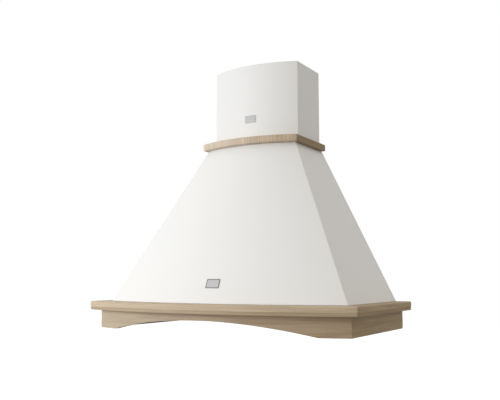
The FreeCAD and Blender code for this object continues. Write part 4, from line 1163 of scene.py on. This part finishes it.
@dataclass
class FilterMesh:
    """Layers of expanded metal inside a grease filter's frame.

    Attributes:
        side: Which filter it is.
        body: The CAD body that the filter is.
        finish: The metal.
        cell: Length of a diamond across the hood.
        pitch: Distance between neighbouring strands.
        strand: Width of a strand.
        layers: Levels of the layers, as shares of the node's height.

    KNOTS are the turns of a strand in one cell, as shares of its length, and FLATNESS is half a
    strand's height as a share of its width.
    """

    KNOTS: ClassVar[tuple[float, ...]] = (0.06, 0.44, 0.56, 0.94)
    FLATNESS: ClassVar[float] = 0.35

    side: Side
    body: Body
    finish: bpy.types.Material
    cell: float = 0.018
    pitch: float = 0.0045
    strand: float = 0.0011
    layers: Sequence[float] = (0.15, 0.5, 0.85)

    def strands(self, low: Array, high: Array, level: float, shift: float) -> tuple[Array, Array]:
        """One layer: strand k runs along X and swings by half a pitch, every other one mirrored.

        Args:
            low: The layer's lowest corner.
            high: Its highest corner.
            level: The layer's middle level.
            shift: Share of a cell by which the layer is moved along X.

        Returns:
            Vertices and faces.
        """
        edge = self.pitch + self.strand
        lines = np.arange(low[1] + edge, high[1] - edge, self.pitch)
        cells = int((high[0] - low[0]) / self.cell)
        start = (low[0] + high[0] - cells * self.cell) / 2
        knots = (np.arange(cells)[:, None] + np.array(self.KNOTS)[None, :]).ravel()
        swing = np.tile([1.0, -1.0, -1.0, 1.0], cells) * self.pitch / 2
        along = np.clip(start + (knots + shift) * self.cell, low[0], high[0])
        parity = np.where(np.arange(len(lines)) % 2 == 0, 1.0, -1.0)
        middle = lines[:, None] + parity[:, None] * swing[None, :]
        half, thick = self.strand / 2, self.strand * self.FLATNESS
        corner = np.array([[half, -thick], [half, thick], [-half, thick], [-half, -thick]])
        shape = (4, len(lines), len(along))
        points = np.empty((*shape, 3))
        points[..., 0] = along
        points[..., 1] = middle[None] + corner[:, 0, None, None]
        points[..., 2] = level + corner[:, 1, None, None]
        points = points.transpose(1, 0, 2, 3)
        columns = len(along)
        ends = np.array([[3, 2, 1, 0], [0, 1, 2, 3]]) * columns + np.array([[0], [columns - 1]])
        one = np.concatenate([grid_faces(4, columns, closed=True), ends])
        offsets = np.arange(len(lines))[:, None, None] * (4 * columns)
        return points.reshape(-1, 3), (one[None] + offsets).reshape(-1, 4)

    def build(self) -> None:
        """Add all the layers as one piece in the place of the CAD's plain mesh."""
        node = f"filter_mesh_{self.side.word}"
        low, high = (np.array(corner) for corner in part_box(node))
        vertices, faces, count = [], [], 0
        for number, share in enumerate(self.layers):
            level = low[2] + (high[2] - low[2]) * share
            points, quads = self.strands(low, high, level, 0.5 * (number % 2))
            vertices.append(points)
            faces.append(quads + count)
            count += len(points)
        Piece(f"expanded_metal_{self.side.word}", np.concatenate(vertices),
              np.concatenate(faces).tolist(), self.finish, self.body, "filter_mesh_aluminium",
              (node,), sharp=30.0).add()


# Stage


@dataclass
class Studio:
    """Plain floor, white surroundings, soft light and the camera.

    Attributes:
        floor_level: Where the floor is, in metres.
        floor_half: Half its width.
        floor_grey: Its colour under the lamp.
        floor_glow: How much of its white is its own.
        ambient: Colour of the light from all round.
        ambient_low: Its strength from straight below.
        ambient_high: Its strength from straight above.
        key_place: Where the large lamp stands.
        key_aim: What it points at.
        key_size: Its width in metres.
        key_power: Its power in watts.
        key_colour: Its colour.
        eye: Where the camera stands.
        yaw: The camera's turn about the vertical, in radians.
        pitch: Its tilt upwards.
        roll: Its turn about its own axis.
        focal: Its focal length in pixels of the picture.
        sensor: Its sensor's width in millimetres.
        sight: How far it sees, in metres.
    """

    PICTURE_WIDTH: ClassVar[float] = 500.0

    floor_level: float = -1.15
    floor_half: float = 9.0
    floor_grey: Colour = (0.45, 0.45, 0.45)
    floor_glow: float = 0.8
    ambient: Colour = (1.0, 0.965, 0.89)
    ambient_low: float = 0.40
    ambient_high: float = 0.72
    key_place: Triple = (-1.9, -2.9, 0.1)
    key_aim: Triple = (0.0, -0.25, -0.15)
    key_size: float = 1.0
    key_power: float = 60.2
    key_colour: Colour = (0.93, 0.955, 1.0)
    eye: Triple = (1.0866, -2.0431, -0.3450)
    yaw: float = 0.5321374
    pitch: float = 0.1132839
    roll: float = -0.0016572
    focal: float = 680.03
    sensor: float = 36.0
    sight: float = 60.0

    @staticmethod
    def seen(graph: Graph) -> Signal:
        """What tells the rays that show the background from those that light the hood.

        Args:
            graph: The graph that asks.

        Returns:
            One for rays from the camera and for reflected and refracted ones, else zero.
        """
        path = graph.node("ShaderNodeLightPath", {}, {})
        direct, glossy, through = (Signal(graph, path.outputs[name]) for name in
                                   ("Is Camera Ray", "Is Glossy Ray", "Is Transmission Ray"))
        return graph.math("MAXIMUM", direct, graph.math("MAXIMUM", glossy, through))

    def world(self) -> None:
        """White to the eye; all else gets a light mixed by how far up it comes from."""
        graph = Graph(bpy.data.worlds.new("surroundings"))
        height = graph.part_of(graph.signal("ShaderNodeTexCoord", {}, "Generated"), 2)
        below, above = (rgba(self.ambient, share) for share in
                        (self.ambient_low, self.ambient_high))
        colour = graph.mix(height * 0.5 + 0.5, below, above)
        light = graph.signal("ShaderNodeBackground", {0: colour, 1: 1.0})
        white = graph.signal("ShaderNodeBackground", {0: WHITE, 1: 1.0})
        mixed = graph.signal("ShaderNodeMixShader", {0: self.seen(graph), 1: light, 2: white})
        bpy.context.scene.world = graph.ended(mixed, "ShaderNodeOutputWorld")

    def floor(self) -> None:
        """A pale floor that keeps the hood's shadow, and hides nothing from below."""
        half = self.floor_half
        corners = [(-half, -half), (half, -half), (half, half), (-half, half)]
        mesh = bpy.data.meshes.new("floor")
        mesh.from_pydata([(x, y, self.floor_level) for x, y in corners], [], [[0, 1, 2, 3]])
        graph = Graph.of_material("pale_floor")
        matt = graph.signal("ShaderNodeBsdfDiffuse", {0: rgba(self.floor_grey)})
        glow = graph.signal("ShaderNodeEmission", {0: WHITE, 1: self.floor_glow})
        white = graph.signal("ShaderNodeAddShader", {0: matt, 1: glow})
        above = graph.signal("ShaderNodeMixShader", {0: self.seen(graph), 1: matt, 2: white})
        clear = graph.signal("ShaderNodeBsdfTransparent", {})
        under = graph.signal("ShaderNodeNewGeometry", {}, "Backfacing")
        mixed = graph.signal("ShaderNodeMixShader", {0: under, 1: above, 2: clear})
        mesh.materials.append(graph.ended(mixed))
        floor = put("floor", mesh)

    def lamp(self) -> None:
        """One soft lamp on the camera's left, level with the neck ring."""
        light = bpy.data.lights.new("key", "AREA")
        light.shape = "SQUARE"
        light.size = self.key_size
        light.energy = self.key_power
        light.color = self.key_colour
        place, aim = Vector(self.key_place), Vector(self.key_aim)
        turn = (aim - place).to_track_quat("-Z", "Y").to_matrix().to_4x4()
        put("key", light).matrix_world = Matrix.Translation(place) @ turn

    def camera(self) -> None:
        """The photograph's camera: yaw, pitch and roll turned into its three axes."""
        level = Vector((math.cos(self.yaw), math.sin(self.yaw), 0.0))
        flat = math.cos(self.pitch)
        ahead = Vector((-math.sin(self.yaw) * flat, math.cos(self.yaw) * flat,
                        math.sin(self.pitch)))
        upright = level.cross(ahead)
        across = level * math.cos(self.roll) + upright * math.sin(self.roll)
        above = upright * math.cos(self.roll) - level * math.sin(self.roll)
        data = bpy.data.cameras.new("camera")
        data.sensor_width = self.sensor
        data.lens = self.focal / self.PICTURE_WIDTH * self.sensor
        data.clip_end = self.sight
        camera = put("camera", data)
        axes = Matrix((across, above, -ahead)).transposed().to_4x4()
        camera.matrix_world = Matrix.Translation(Vector(self.eye)) @ axes
        bpy.context.scene.camera = camera

    def build(self) -> None:
        """Set the whole stage."""
        self.world()
        self.floor()
        self.lamp()
        self.camera()
        bpy.context.scene.view_settings.view_transform = "Standard"


# The hood


PAINT = (0.845, 0.845, 0.84)


def slot_finishes() -> dict[str, bpy.types.Material]:
    """The finish of each material slot of the record, for CAD nodes that stay.

    Returns:
        Materials by slot; each finish has its slot's name.
    """
    finishes = (
        LimedWood("block_wood", seed=7.0, mapped=False),
        Enamel("white_enamel", PAINT),
        Enamel("pan_enamel", (0.78, 0.765, 0.725), 0.4, 0.00003),
        Metal("galvanised_steel", (0.50, 0.51, 0.52), 0.44, (60.0, 60.0, 60.0), spangle=0.5),
        Metal("filter_aluminium", (0.60, 0.60, 0.595), 0.34, (40.0, 1100.0, 1100.0)),
        Metal("filter_mesh_aluminium", (0.50, 0.50, 0.495), 0.42),
        Plastic("latch_plastic", (0.055, 0.055, 0.058)),
        Metal("lamp_trim", (0.66, 0.66, 0.65), 0.27, (700.0, 700.0, 700.0)),
        FrostedGlass("lamp_glass"),
        Metal("lamp_can_metal", (0.52, 0.52, 0.52), 0.4),
        Plastic("control_plastic", (0.70, 0.69, 0.66), 0.4),
        Plastic("button_plastic", (0.76, 0.75, 0.72), 0.33),
        Plastic("pilot_red", (0.45, 0.03, 0.02), 0.18),
        Plastic("blower_plastic", (0.05, 0.05, 0.052), 0.5, 0.00005),
        Plastic("impeller_plastic", (0.10, 0.10, 0.105), 0.46),
        Plastic("flap_plastic", (0.16, 0.16, 0.165), 0.5),
        Metal("shaft_steel", (0.56, 0.57, 0.58), 0.2, (900.0, 60.0, 60.0)),
        Metal("motor_steel", (0.42, 0.43, 0.44), 0.38),
        Plastic("capacitor_plastic", (0.62, 0.63, 0.64), 0.38),
        Plastic("terminal_plastic", (0.035, 0.035, 0.037), 0.46),
        Plastic("gland_plastic", (0.04, 0.04, 0.042), 0.5),
        Metal("zinc_screws", (0.62, 0.62, 0.60), 0.3, (500.0, 500.0, 500.0)),
    )
    return {finish.name: finish.build() for finish in finishes}


@dataclass
class Hood:
    """The whole range hood, dressed over its CAD frame, with its levels and axes in metres.

    Attributes:
        finishes: Materials by the record's slots.
        wide_axis: How far behind the wall the axis of the base's arcs stands.
        narrow_axis: The same for the arcs of the collar and the chimney.
        hem: Level of the apron's lower edge.
        shelf: Level where the cornice stands on the apron.
        brow: Level where the dome stands on the cornice.
        crown: Level where the collar starts.
        stain: Level under which the cornice's moulding is darker.
        board_edge: Corner radius of a board's inner face.
        chimney_lip: Width of the covers' lips along the wall.
        telescope_step: How far the inner cover's outer face is inside the outer cover's.
    """

    finishes: dict[str, bpy.types.Material]
    wide_axis: float = 0.712
    narrow_axis: float = 0.152
    hem: float = -0.5
    shelf: float = -0.444
    brow: float = -0.418
    crown: float = 0.0703
    # darkening: Level under which the cornice's moulding is darker.
    stain: float = -0.4335
    board_edge: float = 0.0004
    chimney_lip: float = 0.016
    telescope_step: float = 0.0015

    def wide(self, half: float, bow: float, corner: float, rear: float = 0.0) -> BowedPlan:
        """A plan of the base: its half width, its arc's radius and its corners' radius."""
        return BowedPlan(half, bow, self.wide_axis, corner, rear)

    def narrow(self, half: float, bow: float, corner: float, rear: float = 0.0) -> BowedPlan:
        """A plan of the collar or the chimney, given in the same way."""
        return BowedPlan(half, bow, self.narrow_axis, corner, rear)

    def base(self) -> None:
        """The cornice and the arched apron under it."""
        moulding = Section(self.shelf, self.brow, low_ease=(0.0016, 0.0095),
                           high_ease=(0.007, 0.0032), quirk=0.0009)
        # The cornice's moulding is darker below the given level.
        wood = LimedWood("cornice_wood", darker_below=self.stain)
        # The cornice's front board gets more lime from its right end towards its left end, where
        # the lamp is: painted light.
        limed = replace(wood, light=(0.55, 0.426, 0.282), dark=(0.372, 0.269, 0.16),
                        lime_and_painted_light_near=0.18, lime_and_painted_light_far=0.26, reach=0.95, seed=3.0)
        # The cornice's side boards get the same wood in darker colours: painted shade.
        painted_shade_wood = replace(wood, light=(0.47, 0.355, 0.225), dark=(0.33, 0.235, 0.14))
        MitredFrame("cornice", self.wide(0.45, 1.2269, 0.010),
                    self.wide(0.39, 1.167, self.board_edge), moulding, limed, painted_shade_wood,
                    side_seeds=(21.0, 33.0)).build()
        plain = Section(self.hem, self.shelf, low_ease=(0.0012, 0.0012),
                        high_ease=(0.0006, 0.0006))
        # The apron's arch underside and inner faces, more than 2 mm behind its outer face, get
        # painted shade.
        wood = LimedWood("apron_wood", painted_shade_beyond=0.002)
        # The apron's front board gets more lime from its right end towards its left end: painted
        # light.
        limed = replace(wood, light=(0.45, 0.335, 0.221), dark=(0.304, 0.213, 0.127),
                        lime_and_painted_light_near=0.06, lime_and_painted_light_far=0.26, reach=0.9, seed=11.0)
        # The apron's side boards get darker colours: painted shade.
        painted_shade_wood = replace(wood, light=(0.435, 0.331, 0.2), dark=(0.302, 0.213, 0.122))
        ArchedFrame("apron", self.wide(0.422, 1.195, 0.0012),
                    self.wide(0.402, 1.175, self.board_edge), plain, limed, painted_shade_wood,
                    side_seeds=(45.0, 57.0),
                    side_shares=tuple(spread((0.0, 0.013, 0.98, 1.0), (6, 10, 2)))).build()

    def neck(self) -> None:
        """The wooden ring between the dome and the chimney."""
        section = Section(self.crown, high=0.0921, low_ease=(0.0040, 0.0028),
                          high_ease=(0.003, 0.003))
        # The collar's front board gets more lime from its right end towards its left end: painted
        # light.
        limed = LimedWood("collar_wood", light=(0.65, 0.52, 0.385), dark=(0.38, 0.285, 0.192),
                          lime=(0.92, 0.85, 0.76), lime_and_painted_light_near=0.04, lime_and_painted_light_far=0.32, reach=0.34,
                          grain=Grain.UPRIGHT, seed=83.0)
        # The collar's side boards get darker colours: painted shade.
        painted_shade_wood = LimedWood("collar_wood", light=(0.395, 0.298, 0.19), dark=(0.25, 0.182, 0.11))
        MitredFrame("collar", self.narrow(0.1736, 0.399, 0.004),
                    self.narrow(0.1534, 0.3463, self.board_edge), section, limed, painted_shade_wood,
                    side_seeds=(63.0, 71.0)).build()

    def skins(self) -> None:
        """The dome, the two chimney covers and the two bare plates."""
        paint = self.finishes["white_enamel"]
        wall = 0.0012
        dome = BowedSkin("painted_dome", "dome_shell",
                         foot=self.wide(0.4023, 1.163, 2 * wall, -wall),
                         top=self.narrow(0.1606, 0.379, 2 * wall, -wall),
                         low=self.brow, high=self.crown, wall=wall, finish=paint,
                         foot_lip=0.015, top_lip=0.008)
        dome.build()
        wall = 0.001
        plan = self.narrow(0.1531, 0.346, 2 * wall)
        chimney = BowedSkin("painted_chimney", "lower_chimney", plan, plan, low=0.0665,
                            high=0.3385, wall=wall, finish=paint, rear_lip=self.chimney_lip)
        chimney.build()
        inner = plan.lipped(self.telescope_step)
        BowedSkin("painted_telescopic_cover", "upper_chimney", inner, inner, low=0.0958,
                  high=0.3318, wall=wall, finish=paint, body=Body.UPPER_COVER,
                  rear_lip=self.chimney_lip).build()
        rim = Plastic("plate_rim", (0.14, 0.14, 0.137), 0.5).build()
        bright = Plastic("plate_field", (0.56, 0.56, 0.575), 0.5).build()
        Plate("dome_plate", dome, turn=0.031, share=0.1135, wide=0.0445, tall=0.028,
              rim_finish=rim, field_finish=bright).build()
        Plate("chimney_plate", chimney, turn=0.0, share=0.3456, wide=0.040, tall=0.0245,
              rim_finish=bright, field_finish=bright, rim=0.0012).build()

    def filters(self) -> None:
        """The expanded metal in the two grease filters."""
        metal = self.finishes["filter_mesh_aluminium"]
        for side, body in ((Side.LEFT, Body.FILTER_LEFT), (Side.RIGHT, Body.FILTER_RIGHT)):
            FilterMesh(side, body, metal).build()

    def dress_nodes(self) -> None:
        """Give each CAD node of the record its slot's finish, where this script has one."""
        for entry in frame["record"]["subparts"]:
            material = self.finishes.get(entry["material_slot"])
            if material is None:
                continue
            for holder in frame["nodes"][entry["node"]].material_slots:
                holder.material = material
            LOG.info("%s: %s", entry["node"], material.name)

    def build(self) -> None:
        """Build and dress everything in order."""
        self.dress_nodes()
        self.base()
        self.skins()
        self.neck()
        self.filters()


def main() -> None:
    """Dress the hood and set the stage."""
    logging.basicConfig(level=logging.INFO, format="%(message)s")
    Hood(slot_finishes()).build()
    Studio().build()
    bpy.context.view_layer.update()


if __name__ == "__main__":
    main()
